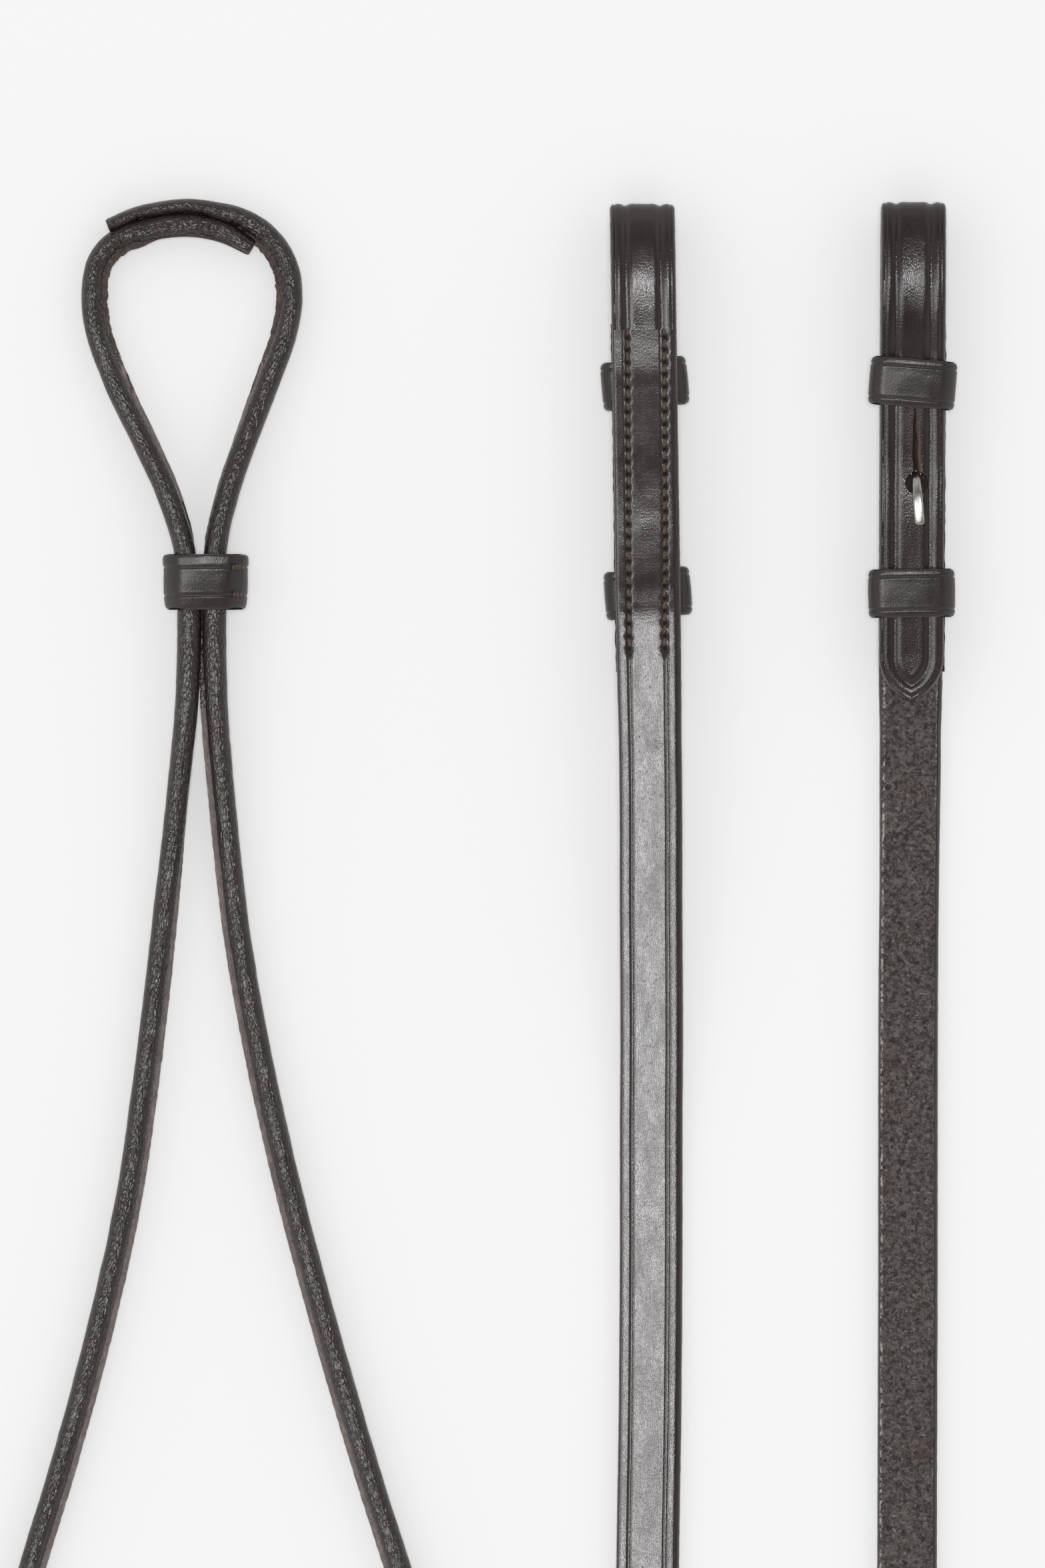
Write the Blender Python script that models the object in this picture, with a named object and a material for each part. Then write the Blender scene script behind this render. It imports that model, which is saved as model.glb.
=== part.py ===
"""A pair of leather reins for a snaffle bridle, lying on a table.

Each rein is a flat strap that ends, towards the horse, in a folded billet with a
hook stud, and that is rolled round a filler cord towards the rider's hand. The two
rolled ends lap over each other at the top of the hand loop, and one loose keeper
slides on both. The near rein lies grain side up, the off rein flesh side up.

Metres. +X runs across the straps, +Y towards the billets' bit loops, +Z up from
the table. The origin is under the middle of the whole layout.
"""

import math

import bmesh
import bpy
from mathutils import Matrix, Vector

# ---------------------------------------------------------------- driving sizes
MM = 0.001
GAP = 0.3 * MM  # clearance between pieces that touch in leather

STRAP_HALF_WIDTH = 8.1 * MM
BILLET_HALF_WIDTH = 8.5 * MM
STRAP_HALF_THICK = 1.5 * MM
TAB_HALF_THICK = 1.4 * MM
EDGE_BEVEL = 0.5 * MM

ROLL_RADIUS = 3.0 * MM
BORE_RADIUS = 1.65 * MM
CORE_RADIUS = 1.25 * MM
OCTAGON_CUT = 2.0 - math.sqrt(2.0)  # corner cut that turns a square of half side 1 into an octagon

HINGE_Y = 175 * MM  # where each billet starts to bend, on the +Y side of the flat strap

# Layers of a billet, as heights above the strap's grain face.
KEEPER_FLOOR = (3.3 * MM, 4.3 * MM)
LINING = (4.6 * MM, 6.2 * MM)
TAB_MIDDLE = 7.9 * MM
KEEPER_TOP = (9.6 * MM, 11.8 * MM)

# Along a billet, from its hinge.
LINING_SPAN = (26 * MM, 116 * MM)
STITCH_SPAN = (31.6 * MM, 113.3 * MM)
STITCH_ROWS = {"left": 4.4 * MM, "right": -5.1 * MM}
UPPER_KEEPER_Y = 100.2 * MM
LOWER_KEEPER_Y = 46.1 * MM
KEEPER_LENGTH = 12.3 * MM
KEEPER_HALF_WIDTH = 11.1 * MM
KEEPER_WALL = 2.0 * MM
TAB_TIP_Y = 18.3 * MM
TAB_POINT_LENGTH = 11.4 * MM
POINT_SHARES = (1.0, 0.8, 0.6, 0.4, 0.2, 0.07, 0.0)  # where the point's outline is sampled
HOLE_Y = 74.7 * MM
HOLE_RADIUS = 3.05 * MM
HOOK_SIDE = 0.8 * MM  # the stud sits a little off the strap's middle line
SLOT_HALF_WIDTH = 1.5 * MM
SLOT_TOP_Y = 93.9 * MM
POST_Y = 75.8 * MM

# The hand end's loose keeper.
HAND_KEEPER_MIDDLE = Vector((-63.65, 224.05, 5.7)) * MM
HAND_KEEPER_SIZE = (21.5 * MM, 14.3 * MM, 11.4 * MM)
HAND_KEEPER_OPENING = (15.0 * MM, 6.8 * MM)
HAND_KEEPER_OPENING_SHIFT = -1.15 * MM  # the lapped side, at +X, is twice as thick

# ---------------------------------------------------------------- where things lie
# The middle line of each rolled length, from the flat strap round to its lapped end at the
# top of the hand loop: x, y, z, and half the thickness in the plane of the table, in mm.
NEAR_ROLL = [
    (50.2, -168.0, 3.0, 3.0), (50.0, -192.0, 3.0, 3.0), (47.0, -224.0, 3.0, 3.0),
    (36.5, -257.0, 3.0, 3.0), (17.5, -284.0, 3.0, 3.0), (-8.0, -302.0, 3.0, 3.0),
    (-39.0, -308.5, 3.0, 3.0), (-70.0, -303.0, 3.0, 3.0), (-97.0, -286.0, 3.0, 3.0),
    (-115.5, -258.0, 3.0, 3.0), (-124.6, -222.0, 3.0, 3.0), (-126.8, -182.0, 3.0, 3.0),
    (-126.4, -141.0, 3.0, 3.0), (-123.4, -100.0, 3.0, 3.0), (-117.2, -64.0, 3.0, 3.0),
    (-108.4, -30.0, 3.0, 3.0), (-100.4, -4.1, 3.0, 3.0), (-91.1, 30.3, 3.0, 3.0),
    (-83.6, 64.7, 3.0, 3.0), (-78.7, 99.1, 3.0, 3.0), (-74.5, 133.5, 3.0, 3.0),
    (-70.8, 167.9, 4.2, 3.0), (-68.7, 192.0, 5.7, 3.0), (-67.9, 212.6, 5.7, 3.0),
    (-68.1, 224.0, 5.7, 3.0), (-69.0, 233.2, 5.7, 3.0), (-73.3, 247.0, 5.2, 3.0),
    (-79.7, 260.8, 4.0, 3.0), (-86.1, 274.5, 3.1, 3.0), (-91.0, 288.3, 3.0, 3.0),
    (-91.7, 297.5, 3.0, 3.0), (-89.9, 306.5, 3.0, 3.0), (-85.6, 312.0, 3.0, 2.8),
    (-79.3, 315.3, 3.0, 2.3), (-68.5, 317.0, 3.0, 2.0), (-59.5, 315.1, 3.0, 1.4),
    (-52.8, 311.7, 3.0, 1.3),
]
OFF_ROLL = [
    (117.2, -168.0, 3.0, 3.0), (117.2, -200.0, 3.0, 3.0), (117.0, -235.0, 3.0, 3.0),
    (114.5, -268.0, 3.0, 3.0), (103.5, -297.5, 3.0, 3.0), (84.5, -313.7, 3.0, 3.0),
    (61.0, -319.5, 3.0, 3.0), (38.0, -315.3, 3.3, 3.0), (20.5, -304.0, 6.6, 3.0),
    (10.6, -289.5, 9.8, 3.0), (6.3, -264.0, 6.8, 3.0), (5.5, -238.0, 3.3, 3.0),
    (6.0, -200.0, 3.0, 3.0), (6.0, -160.0, 3.0, 3.0), (4.8, -122.0, 3.0, 3.0),
    (1.3, -88.0, 3.0, 3.0), (-5.5, -58.0, 3.0, 3.0), (-14.1, -29.9, 3.0, 3.0),
    (-22.3, -4.1, 3.0, 3.0), (-32.2, 30.3, 3.0, 3.0), (-41.5, 64.7, 3.0, 3.0),
    (-49.5, 99.1, 3.0, 3.0), (-55.8, 133.5, 3.0, 3.0), (-59.5, 167.9, 4.2, 3.0),
    (-61.1, 192.0, 5.7, 3.0), (-61.4, 212.6, 5.7, 3.0), (-61.3, 224.0, 5.7, 3.0),
    (-61.0, 233.2, 5.7, 3.0), (-57.9, 247.0, 5.2, 3.0), (-53.2, 260.8, 4.0, 3.0),
    (-48.0, 274.5, 3.1, 3.0), (-43.3, 288.3, 3.0, 3.0), (-42.2, 298.0, 3.0, 3.0),
    (-43.9, 307.0, 3.0, 3.0), (-48.2, 313.7, 3.0, 3.0), (-54.0, 317.9, 3.0, 2.8),
    (-60.0, 320.3, 3.0, 2.1), (-68.5, 321.4, 3.0, 1.4), (-79.9, 320.3, 3.0, 1.4),
    (-88.6, 317.0, 3.0, 1.35),
]

# The middle line of each flat strap, from its hinge to the start of its taper: x, y, z in mm.
NEAR_STRAP = [
    (51.0, 174.85, 10.0), (51.1, 160.0, 9.2), (51.1, 145.0, 7.9), (51.2, 130.0, 6.2),
    (51.3, 115.0, 4.5), (51.3, 100.0, 3.1), (51.2, 85.0, 2.1), (51.2, 70.0, 1.6),
    (51.2, 55.0, 1.5), (50.9, 10.0, 1.5), (50.3, -30.0, 1.5), (50.2, -138.0, 1.5),
]
OFF_STRAP = [
    (118.0, 174.85, 1.5), (117.8, 150.0, 1.5), (117.5, 115.0, 1.5), (117.4, 40.0, 1.5),
    (117.2, -30.0, 1.5), (117.2, -138.0, 1.5),
]
# From flat to rolled: y, z, half width, half thickness, corner cut, in mm.
TAPER = [
    (-145.0, 1.7, 7.4, 1.7, 0.7), (-153.0, 2.2, 5.6, 2.2, 1.1), (-160.0, 2.7, 4.0, 2.7, 1.5),
    (-167.7, 3.0, 3.0, 3.0, 3.0 * OCTAGON_CUT),
]

# Each billet's fold, in its own frame: distance from the hinge, height above the grain
# face, in mm. The strap's half ends at the fold's outermost point, where the tab's starts.
NEAR_FOLD_STRAP = [
    (0.15, 1.8), (10, 1.6), (20, 1.5), (70, 1.5), (114, 1.5), (120, 1.35), (127, 0.6),
    (134, -0.2), (139.5, 0.2), (143.5, 1.9), (145.2, 4.85),
]
NEAR_FOLD_TAB = [
    (145.2, 5.15), (143.7, 7.8), (139.5, 9.6), (134, 10.3), (127, 9.2), (121.5, 8.05),
    (118, 7.9), (95, 7.9),
]
OFF_FOLD_STRAP = [
    (0.15, 1.5), (20, 1.5), (70, 1.5), (114, 1.5), (135, 1.5), (139.5, 1.8), (143.3, 3.6),
    (145.4, 6.85),
]
OFF_FOLD_TAB = [
    (145.4, 7.15), (144.2, 9.8), (140.2, 11.7), (134.5, 12.2), (127.5, 10.7), (121.5, 8.1),
    (118, 7.9), (95, 7.9),
]
HOOK = [(75.8, 4.6), (75.8, 8.6), (75.2, 10.2), (73.2, 11.0), (69.0, 11.0), (63.9, 10.7)]


# ---------------------------------------------------------------- materials
def material(name, colour, roughness, metallic=0.0):
    made = bpy.data.materials.new(name)
    made.use_nodes = True
    shader = made.node_tree.nodes["Principled BSDF"]
    shader.inputs["Base Color"].default_value = (*colour, 1.0)
    shader.inputs["Roughness"].default_value = roughness
    shader.inputs["Metallic"].default_value = metallic
    return made


# ---------------------------------------------------------------- curves and sweeps
def smooth_curve(points, steps=16):
    """A curve through every point, as a dense list. Points may carry more than x, y and z."""
    points = [Vector(p) for p in points]
    points = [2 * points[0] - points[1], *points, 2 * points[-1] - points[-2]]
    dense = []
    for before, start, end, after in zip(points, points[1:], points[2:], points[3:]):
        a, b, c = (
            math.sqrt(max((q - p).length, 1e-9))
            for p, q in ((before, start), (start, end), (end, after))
        )
        leave = end - start + b * ((start - before) / a - (end - before) / (a + b))
        reach = end - start + b * ((after - end) / c - (after - start) / (b + c))
        for step in range(steps):
            t = step / steps
            dense.append(
                (2 * t**3 - 3 * t**2 + 1) * start
                + (t**3 - 2 * t**2 + t) * leave
                + (3 * t**2 - 2 * t**3) * end
                + (t**3 - t**2) * reach
            )
    dense.append(points[-2])
    return dense


def spaced(dense, longest, sharpest=math.radians(10)):
    """Every point of a dense curve where it has run on for `longest` or turned by `sharpest`."""
    kept, run, turned = [dense[0]], 0.0, 0.0
    for before, here, after in zip(dense, dense[1:], dense[2:]):
        step, following = (here - before).xyz, (after - here).xyz
        run += step.length
        turned += step.angle(following, 0.0)
        if run >= longest or turned >= sharpest:
            kept.append(here)
            run, turned = 0.0, 0.0
    if (dense[-1] - kept[-1]).length < 0.4 * longest and len(kept) > 2:
        kept.pop()
    return [*kept, dense[-1]]


def directions(centres):
    """The unit tangent at each centre."""
    ends = [centres[0], *centres, centres[-1]]
    return [(after - before).normalized() for before, after in zip(ends, ends[2:])]


def section(centre, side, up, half_width, half_height, cut):
    """Eight corners: a rectangle with its corners cut, or an octagon."""
    a, b = half_width, half_height
    corners = [
        (a, cut - b), (a, b - cut), (a - cut, b), (cut - a, b),
        (-a, b - cut), (-a, cut - b), (cut - a, -b), (a - cut, -b),
    ]
    return [centre + side * x + up * y for x, y in corners]


def table_frame(tangent):
    """For a roll lying on the table: side in the table's plane, up away from it."""
    side = tangent.cross(Vector((0, 0, 1))).normalized()
    return side, side.cross(tangent)


def strap_frame(tangent):
    """For a strap that bends up and down: side across the strap, up out of its face."""
    side = Vector((1, 0, 0))
    side = (side - tangent * side.dot(tangent)).normalized()
    return side, side.cross(tangent)


def ring_vertices(mesh, rings):
    return [[mesh.verts.new(corner) for corner in ring] for ring in rings]


def wall(mesh, rings):
    """Quads between each ring of vertices and the next."""
    for ring, following in zip(rings, rings[1:]):
        for k in range(len(ring)):
            j = (k + 1) % len(ring)
            mesh.faces.new((ring[k], ring[j], following[j], following[k]))


def finish_object(name, mesh, made_of, parent=None):
    """Turns a bmesh into a named object with its faces pointing out."""
    bmesh.ops.recalc_face_normals(mesh, faces=mesh.faces)
    data = bpy.data.meshes.new(name)
    mesh.to_mesh(data)
    mesh.free()
    data.materials.append(made_of)
    made = bpy.data.objects.new(name, data)
    bpy.context.scene.collection.objects.link(made)
    made.parent = parent
    return made


def sweep(name, sections, made_of, parent=None):
    """A closed solid through a list of sections."""
    mesh = bmesh.new()
    rings = ring_vertices(mesh, sections)
    wall(mesh, rings)
    mesh.faces.new(rings[0])
    mesh.faces.new(rings[-1])
    return finish_object(name, mesh, made_of, parent)


def sleeve(name, outer, inner, made_of, parent=None, blind=False):
    """A solid with a bore: open at both ends, or blind at the inner sections' far end."""
    mesh = bmesh.new()
    outer, inner = ring_vertices(mesh, outer), ring_vertices(mesh, inner)
    wall(mesh, outer)
    wall(mesh, inner)
    wall(mesh, [outer[0], inner[0]])
    if blind:
        mesh.faces.new(outer[-1])
        mesh.faces.new(inner[-1])
    else:
        wall(mesh, [outer[-1], inner[-1]])
    return finish_object(name, mesh, made_of, parent)


def cut(target, cutter):
    """Takes the cutter out of the target, and keeps the cutter as a hidden guide."""
    cutter.hide_render = True
    cutter.display_type = "WIRE"
    boolean = target.modifiers.new(cutter.name, "BOOLEAN")
    boolean.operation = "DIFFERENCE"
    boolean.solver = "EXACT"
    boolean.object = cutter


def block(name, low, high, bevel, made_of, parent=None):
    """A box between two corners, with its long edges cut."""
    low, high = Vector(low), Vector(high)
    middle, half = (low + high) / 2, (high - low) / 2
    side, up = Vector((1, 0, 0)), Vector((0, 0, 1))
    ends = [Vector((middle.x, y, middle.z)) for y in (low.y, high.y)]
    sections = [section(end, side, up, half.x, half.z, bevel) for end in ends]
    return sweep(name, sections, made_of, parent)


def rounded_rectangle(half_width, half_height, radius, corner_steps=3):
    """An outline as (x, z) pairs, with round corners."""
    outline = []
    for quarter in range(4):
        x = (half_width - radius) * (1 if quarter in (0, 3) else -1)
        z = (half_height - radius) * (1 if quarter in (0, 1) else -1)
        for step in range(corner_steps + 1):
            angle = math.pi / 2 * (quarter + step / corner_steps)
            outline.append((x + radius * math.cos(angle), z + radius * math.sin(angle)))
    return outline


def keeper(name, middle, length, outer, inner, shift, made_of, parent=None, tilt=0.0):
    """A leather band that straps run through along Y. outer and inner are outlines, and
    shift moves the opening across and up in the band."""
    def rings(outline, across, up):
        return [
            [Vector((x + across, y, z + up)) for x, z in outline]
            for y in (-length / 2, length / 2)
        ]

    made = sleeve(name, rings(outer, 0, 0), rings(inner, *shift), made_of, parent)
    made.location = middle
    made.rotation_euler.z = tilt
    return made


# ---------------------------------------------------------------- rolled lengths
def rolled_length(prefix, route, leather, filler):
    """The leather cover, with its filler cord inside it as far as the lap's skive."""
    stations = spaced(smooth_curve([Vector(p) * MM for p in route]), 14.5 * MM)
    centres = [station.xyz for station in stations]
    frames = [table_frame(tangent) for tangent in directions(centres)]
    halves = [station.w for station in stations]
    whole = sum(1 for half in halves if half > 0.99 * ROLL_RADIUS) - 1

    def octagons(radius, count):
        return [
            section(centres[k], *frames[k], radius, radius, radius * OCTAGON_CUT)
            for k in range(count)
        ]

    cover = octagons(ROLL_RADIUS, whole) + [
        section(
            centres[k], *frames[k], halves[k], ROLL_RADIUS, min(halves[k], ROLL_RADIUS) * OCTAGON_CUT
        )
        for k in range(whole, len(centres))
    ]
    sleeve(prefix + "_rolled_cover", cover, octagons(BORE_RADIUS, whole), leather, blind=True)
    sweep(prefix + "_rolled_core", octagons(CORE_RADIUS, whole - 1), filler)


# ---------------------------------------------------------------- flat straps
def flat_strap(prefix, route, leather):
    """The flat length of a rein, tapering to the round of its rolled length."""
    dense = smooth_curve([Vector(p) * MM for p in route], 3)
    flat = (STRAP_HALF_WIDTH, STRAP_HALF_THICK, EDGE_BEVEL)
    stations = [(point, *flat) for point in dense]
    x = route[-1][0]
    stations += [
        (Vector((x, y, z)) * MM, width * MM, thick * MM, corner * MM)
        for y, z, width, thick, corner in TAPER
    ]
    tangents = directions([station[0] for station in stations])
    sections = [
        section(centre, *strap_frame(tangent), *size)
        for (centre, *size), tangent in zip(stations, tangents)
    ]
    return sweep(prefix + "_flat_strap", sections, leather)


# ---------------------------------------------------------------- billets
def fold_sections(profile, half_thick, half_width_at, split):
    """Sections along a profile given as (distance from the hinge, height), in mm. split is
    the end, 0 or -1, where the fold's two halves meet on a level cut."""
    centres = smooth_curve([Vector((0, y, height)) * MM for y, height in profile], 3)
    tangents = directions(centres)
    tangents[split] = Vector((0, 0, 1))
    return [
        section(centre, *strap_frame(tangent), half_width_at(centre.y), half_thick, EDGE_BEVEL)
        for centre, tangent in zip(centres, tangents)
    ]


def billet_half_width(y):
    """The strap is a little wider where it is stitched to its lining."""
    share = min(max((y - 15 * MM) / (12 * MM), 0.0), 1.0)
    return STRAP_HALF_WIDTH + (BILLET_HALF_WIDTH - STRAP_HALF_WIDTH) * share


def tab_half_width(y):
    """Parallel sides, then a point whose two sides are arcs."""
    back = TAB_POINT_LENGTH - (y - TAB_TIP_Y)
    if back <= 0:
        return BILLET_HALF_WIDTH
    radius = (TAB_POINT_LENGTH**2 + BILLET_HALF_WIDTH**2) / (2 * BILLET_HALF_WIDTH)
    inset = radius - math.sqrt(radius**2 - back**2)
    return max(BILLET_HALF_WIDTH - inset, EDGE_BEVEL + 0.2 * MM)


def billet_strap(prefix, profile, leather, frame):
    """The strap under the stitching and its half of the fold, with two thread grooves."""
    strap = sweep(
        prefix + "_billet_strap",
        fold_sections(profile, STRAP_HALF_THICK, billet_half_width, -1),
        leather,
        frame,
    )
    for side, x in STITCH_ROWS.items():
        groove = block(
            f"{prefix}_groove_{side}",
            (x - 0.7 * MM, STITCH_SPAN[0] - 0.6 * MM, -1.0 * MM),
            (x + 0.7 * MM, STITCH_SPAN[1] + 0.6 * MM, 0.9 * MM),
            0.1 * MM,
            leather,
            frame,
        )
        cut(strap, groove)


def billet_tab(prefix, profile, leather, frame):
    """The fold's other half and the pointed tab, with its stud hole and slit."""
    fold = fold_sections(profile, TAB_HALF_THICK, tab_half_width, 0)
    point = [
        section(
            Vector((0, y, TAB_MIDDLE)), *strap_frame(Vector((0, -1, 0))),
            tab_half_width(y), TAB_HALF_THICK, EDGE_BEVEL,
        )
        for y in (TAB_TIP_Y + share * TAB_POINT_LENGTH for share in POINT_SHARES)
    ]
    tab = sweep(prefix + "_billet_tab", fold + point, leather, frame)
    mesh = bmesh.new()
    bmesh.ops.create_cone(
        mesh, cap_ends=True, segments=20, radius1=HOLE_RADIUS, radius2=HOLE_RADIUS, depth=8 * MM,
        matrix=Matrix.Translation((HOOK_SIDE, HOLE_Y, TAB_MIDDLE)),
    )
    hole = finish_object(prefix + "_stud_hole", mesh, leather, frame)
    slit = block(
        prefix + "_stud_slit",
        (HOOK_SIDE - SLOT_HALF_WIDTH, HOLE_Y, TAB_MIDDLE - 4 * MM),
        (HOOK_SIDE + SLOT_HALF_WIDTH, SLOT_TOP_Y, TAB_MIDDLE + 4 * MM),
        0.1 * MM,
        leather,
        frame,
    )
    cut(tab, hole)
    cut(tab, slit)


def billet_lining(prefix, leather, frame):
    """The backing that the strap is stitched to, with the stud's hole through it."""
    lining = block(
        prefix + "_billet_lining",
        (-8.3 * MM, LINING_SPAN[0], LINING[0]),
        (8.3 * MM, LINING_SPAN[1], LINING[1]),
        0.3 * MM,
        leather,
        frame,
    )
    mesh = bmesh.new()
    bmesh.ops.create_cone(
        mesh, cap_ends=True, segments=16, radius1=2.2 * MM, radius2=2.2 * MM, depth=6 * MM,
        matrix=Matrix.Translation((HOOK_SIDE, POST_Y, sum(LINING) / 2)),
    )
    cut(lining, finish_object(prefix + "_post_hole", mesh, leather, frame))


def hook_stud(prefix, metal, frame):
    """The hook of flat wire, standing on a plate that is stitched in under the lining."""
    block(
        prefix + "_stud_plate",
        (HOOK_SIDE - 6 * MM, POST_Y - 8 * MM, KEEPER_FLOOR[0]),
        (HOOK_SIDE + 6 * MM, POST_Y + 7 * MM, KEEPER_FLOOR[1]),
        0.2 * MM,
        metal,
        frame,
    )
    lean = 0.9 * MM
    reach = (HOOK[0][0] - HOOK[-1][0]) * MM
    centres = smooth_curve(
        [
            Vector((HOOK_SIDE + lean * (POST_Y - y * MM) / reach, y * MM, height * MM))
            for y, height in HOOK
        ],
        4,
    )
    sections = [
        section(centre, *strap_frame(tangent), 1.2 * MM, 0.8 * MM, 0.35 * MM)
        for centre, tangent in zip(centres, directions(centres))
    ]
    sweep(prefix + "_hook_stud", sections, metal, frame)


def billet_keeper(name, y, tilt, leather, frame):
    """A fixed keeper: a thin floor between strap and lining, and a full wall round the tab."""
    low, high = KEEPER_FLOOR[0], KEEPER_TOP[1]
    opening = (KEEPER_FLOOR[1], KEEPER_TOP[0])
    middle = (low + high) / 2
    keeper(
        name,
        Vector((0, y, middle)),
        KEEPER_LENGTH,
        rounded_rectangle(KEEPER_HALF_WIDTH, (high - low) / 2, 2.2 * MM),
        rounded_rectangle(
            KEEPER_HALF_WIDTH - KEEPER_WALL, (opening[1] - opening[0]) / 2, 0.4 * MM
        ),
        (0, sum(opening) / 2 - middle),
        leather,
        frame,
        tilt,
    )


def threads(prefix, thread, frame):
    """One run of thread in each groove of the strap's grain face."""
    for side, x in STITCH_ROWS.items():
        block(
            f"{prefix}_thread_{side}",
            (x - 0.4 * MM, STITCH_SPAN[0], 0.1 * MM),
            (x + 0.4 * MM, STITCH_SPAN[1], 0.6 * MM),
            0.1 * MM,
            thread,
            frame,
        )


def billet(prefix, frame, folds, tilts, stuff):
    """Everything from the hinge to the bit loop, in the billet's own frame."""
    strap_profile, tab_profile = folds
    billet_strap(prefix, strap_profile, stuff["leather"], frame)
    billet_tab(prefix, tab_profile, stuff["leather"], frame)
    billet_lining(prefix, stuff["lining"], frame)
    hook_stud(prefix, stuff["metal"], frame)
    billet_keeper(prefix + "_upper_keeper", UPPER_KEEPER_Y, tilts[0], stuff["keeper"], frame)
    billet_keeper(prefix + "_lower_keeper", LOWER_KEEPER_Y, tilts[1], stuff["keeper"], frame)
    threads(prefix, stuff["thread"], frame)


def billet_frame(name, location, turned_over, lean):
    """An empty on the hinge, at the height of the strap's grain face."""
    frame = bpy.data.objects.new(name, None)
    frame.location = location
    frame.rotation_euler = (0, math.pi if turned_over else 0, lean)
    bpy.context.scene.collection.objects.link(frame)
    return frame


# ---------------------------------------------------------------- hand end
def hand_keeper(leather, thread):
    """The loose keeper on both rolled lengths, and the two stitches that close it."""
    width, length, height = HAND_KEEPER_SIZE
    opening_width, opening_height = HAND_KEEPER_OPENING
    keeper(
        "hand_keeper",
        HAND_KEEPER_MIDDLE,
        length,
        rounded_rectangle(width / 2, height / 2, 3.4 * MM),
        rounded_rectangle(opening_width / 2, opening_height / 2, 2.0 * MM),
        (HAND_KEEPER_OPENING_SHIFT, 0),
        leather,
    )
    top = HAND_KEEPER_MIDDLE.z + height / 2 + GAP
    for place, y in (("upper", 2.4 * MM), ("lower", -3.3 * MM)):
        middle = HAND_KEEPER_MIDDLE + Vector((width / 2 - 4.6 * MM, y, 0))
        block(
            "hand_keeper_thread_" + place,
            (middle.x - 1.2 * MM, middle.y - 0.4 * MM, top),
            (middle.x + 1.2 * MM, middle.y + 0.4 * MM, top + 0.5 * MM),
            0.1 * MM,
            thread,
        )


def clear_scene():
    for thing in list(bpy.data.objects):
        bpy.data.objects.remove(thing, do_unlink=True)


def main():
    clear_scene()
    stuff = {
        "leather": material("bridle_leather", (0.045, 0.036, 0.033), 0.45),
        "lining": material("backing_leather", (0.05, 0.036, 0.03), 0.85),
        "keeper": material("keeper_leather", (0.035, 0.03, 0.03), 0.4),
        "filler": material("filler_cord", (0.45, 0.4, 0.32), 0.9),
        "thread": material("waxed_thread", (0.12, 0.07, 0.045), 0.6),
        "metal": material("nickel", (0.62, 0.6, 0.57), 0.25, 1.0),
    }
    rolled_length("near", NEAR_ROLL, stuff["leather"], stuff["filler"])
    rolled_length("off", OFF_ROLL, stuff["leather"], stuff["filler"])
    flat_strap("near", NEAR_STRAP, stuff["leather"])
    flat_strap("off", OFF_STRAP, stuff["leather"])
    near = billet_frame(
        "near_billet_frame", (51.0 * MM, HINGE_Y, KEEPER_TOP[1]), True, math.radians(0.85)
    )
    off = billet_frame("off_billet_frame", (118.0 * MM, HINGE_Y, 0), False, math.radians(-0.28))
    tilt = math.radians(2.5)
    billet("near", near, (NEAR_FOLD_STRAP, NEAR_FOLD_TAB), (-tilt, -tilt), stuff)
    billet("off", off, (OFF_FOLD_STRAP, OFF_FOLD_TAB), (-tilt, 0.0), stuff)
    hand_keeper(stuff["keeper"], stuff["thread"])


main()
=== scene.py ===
"""Looks of a pair of rolled leather reins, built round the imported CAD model.

Metres in Blender; sizes here are written in millimetres and multiplied by MM.
+X runs across the straps, +Y towards the billets' bit loops, +Z up from the floor.
"""

import math

import bmesh
import bpy
import numpy as np
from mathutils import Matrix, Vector, noise


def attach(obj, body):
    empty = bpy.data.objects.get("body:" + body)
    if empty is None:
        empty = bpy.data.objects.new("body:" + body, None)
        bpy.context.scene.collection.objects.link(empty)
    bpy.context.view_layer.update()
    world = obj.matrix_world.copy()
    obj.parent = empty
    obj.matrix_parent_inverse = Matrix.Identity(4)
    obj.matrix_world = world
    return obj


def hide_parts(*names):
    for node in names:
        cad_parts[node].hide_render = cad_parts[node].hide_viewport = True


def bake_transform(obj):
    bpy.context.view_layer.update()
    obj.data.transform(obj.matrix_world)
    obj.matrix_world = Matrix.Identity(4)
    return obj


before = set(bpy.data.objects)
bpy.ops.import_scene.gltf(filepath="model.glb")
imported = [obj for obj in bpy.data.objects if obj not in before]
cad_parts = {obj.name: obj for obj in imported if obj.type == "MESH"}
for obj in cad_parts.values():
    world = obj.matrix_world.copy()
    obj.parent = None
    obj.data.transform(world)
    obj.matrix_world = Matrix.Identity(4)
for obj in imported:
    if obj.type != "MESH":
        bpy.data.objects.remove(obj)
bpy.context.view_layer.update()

MM = 0.001
LOWEST = -0.1  # no mesh made here goes lower than this; the CAD's lowest point is at -0.14
UP = np.array((0.0, 0.0, 1.0))
CURVE_STEPS = 16


def link_object(name, data):
    """A new object in the scene."""
    made = bpy.data.objects.new(name, data)
    bpy.context.scene.collection.objects.link(made)
    return made


def cos_sin(degrees):
    return math.cos(math.radians(degrees)), math.sin(math.radians(degrees))


# ---------------------------------------------------------------- camera
CAMERA_HEIGHT = 4.0  # metres
VIEW_CENTRE = (18.0, 172.0)
VIEW_LONG_SIDE = 404.5
SENSOR = 36.0

camera = link_object("camera", bpy.data.cameras.new("camera"))
camera.data.sensor_width = SENSOR
camera.data.lens = SENSOR * CAMERA_HEIGHT / (VIEW_LONG_SIDE * MM)
camera.data.clip_start, camera.data.clip_end = 0.1, 60.0
camera.location = (VIEW_CENTRE[0] * MM, VIEW_CENTRE[1] * MM, CAMERA_HEIGHT)
bpy.context.scene.camera = camera
bpy.context.scene.view_settings.view_transform = "Standard"


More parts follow.
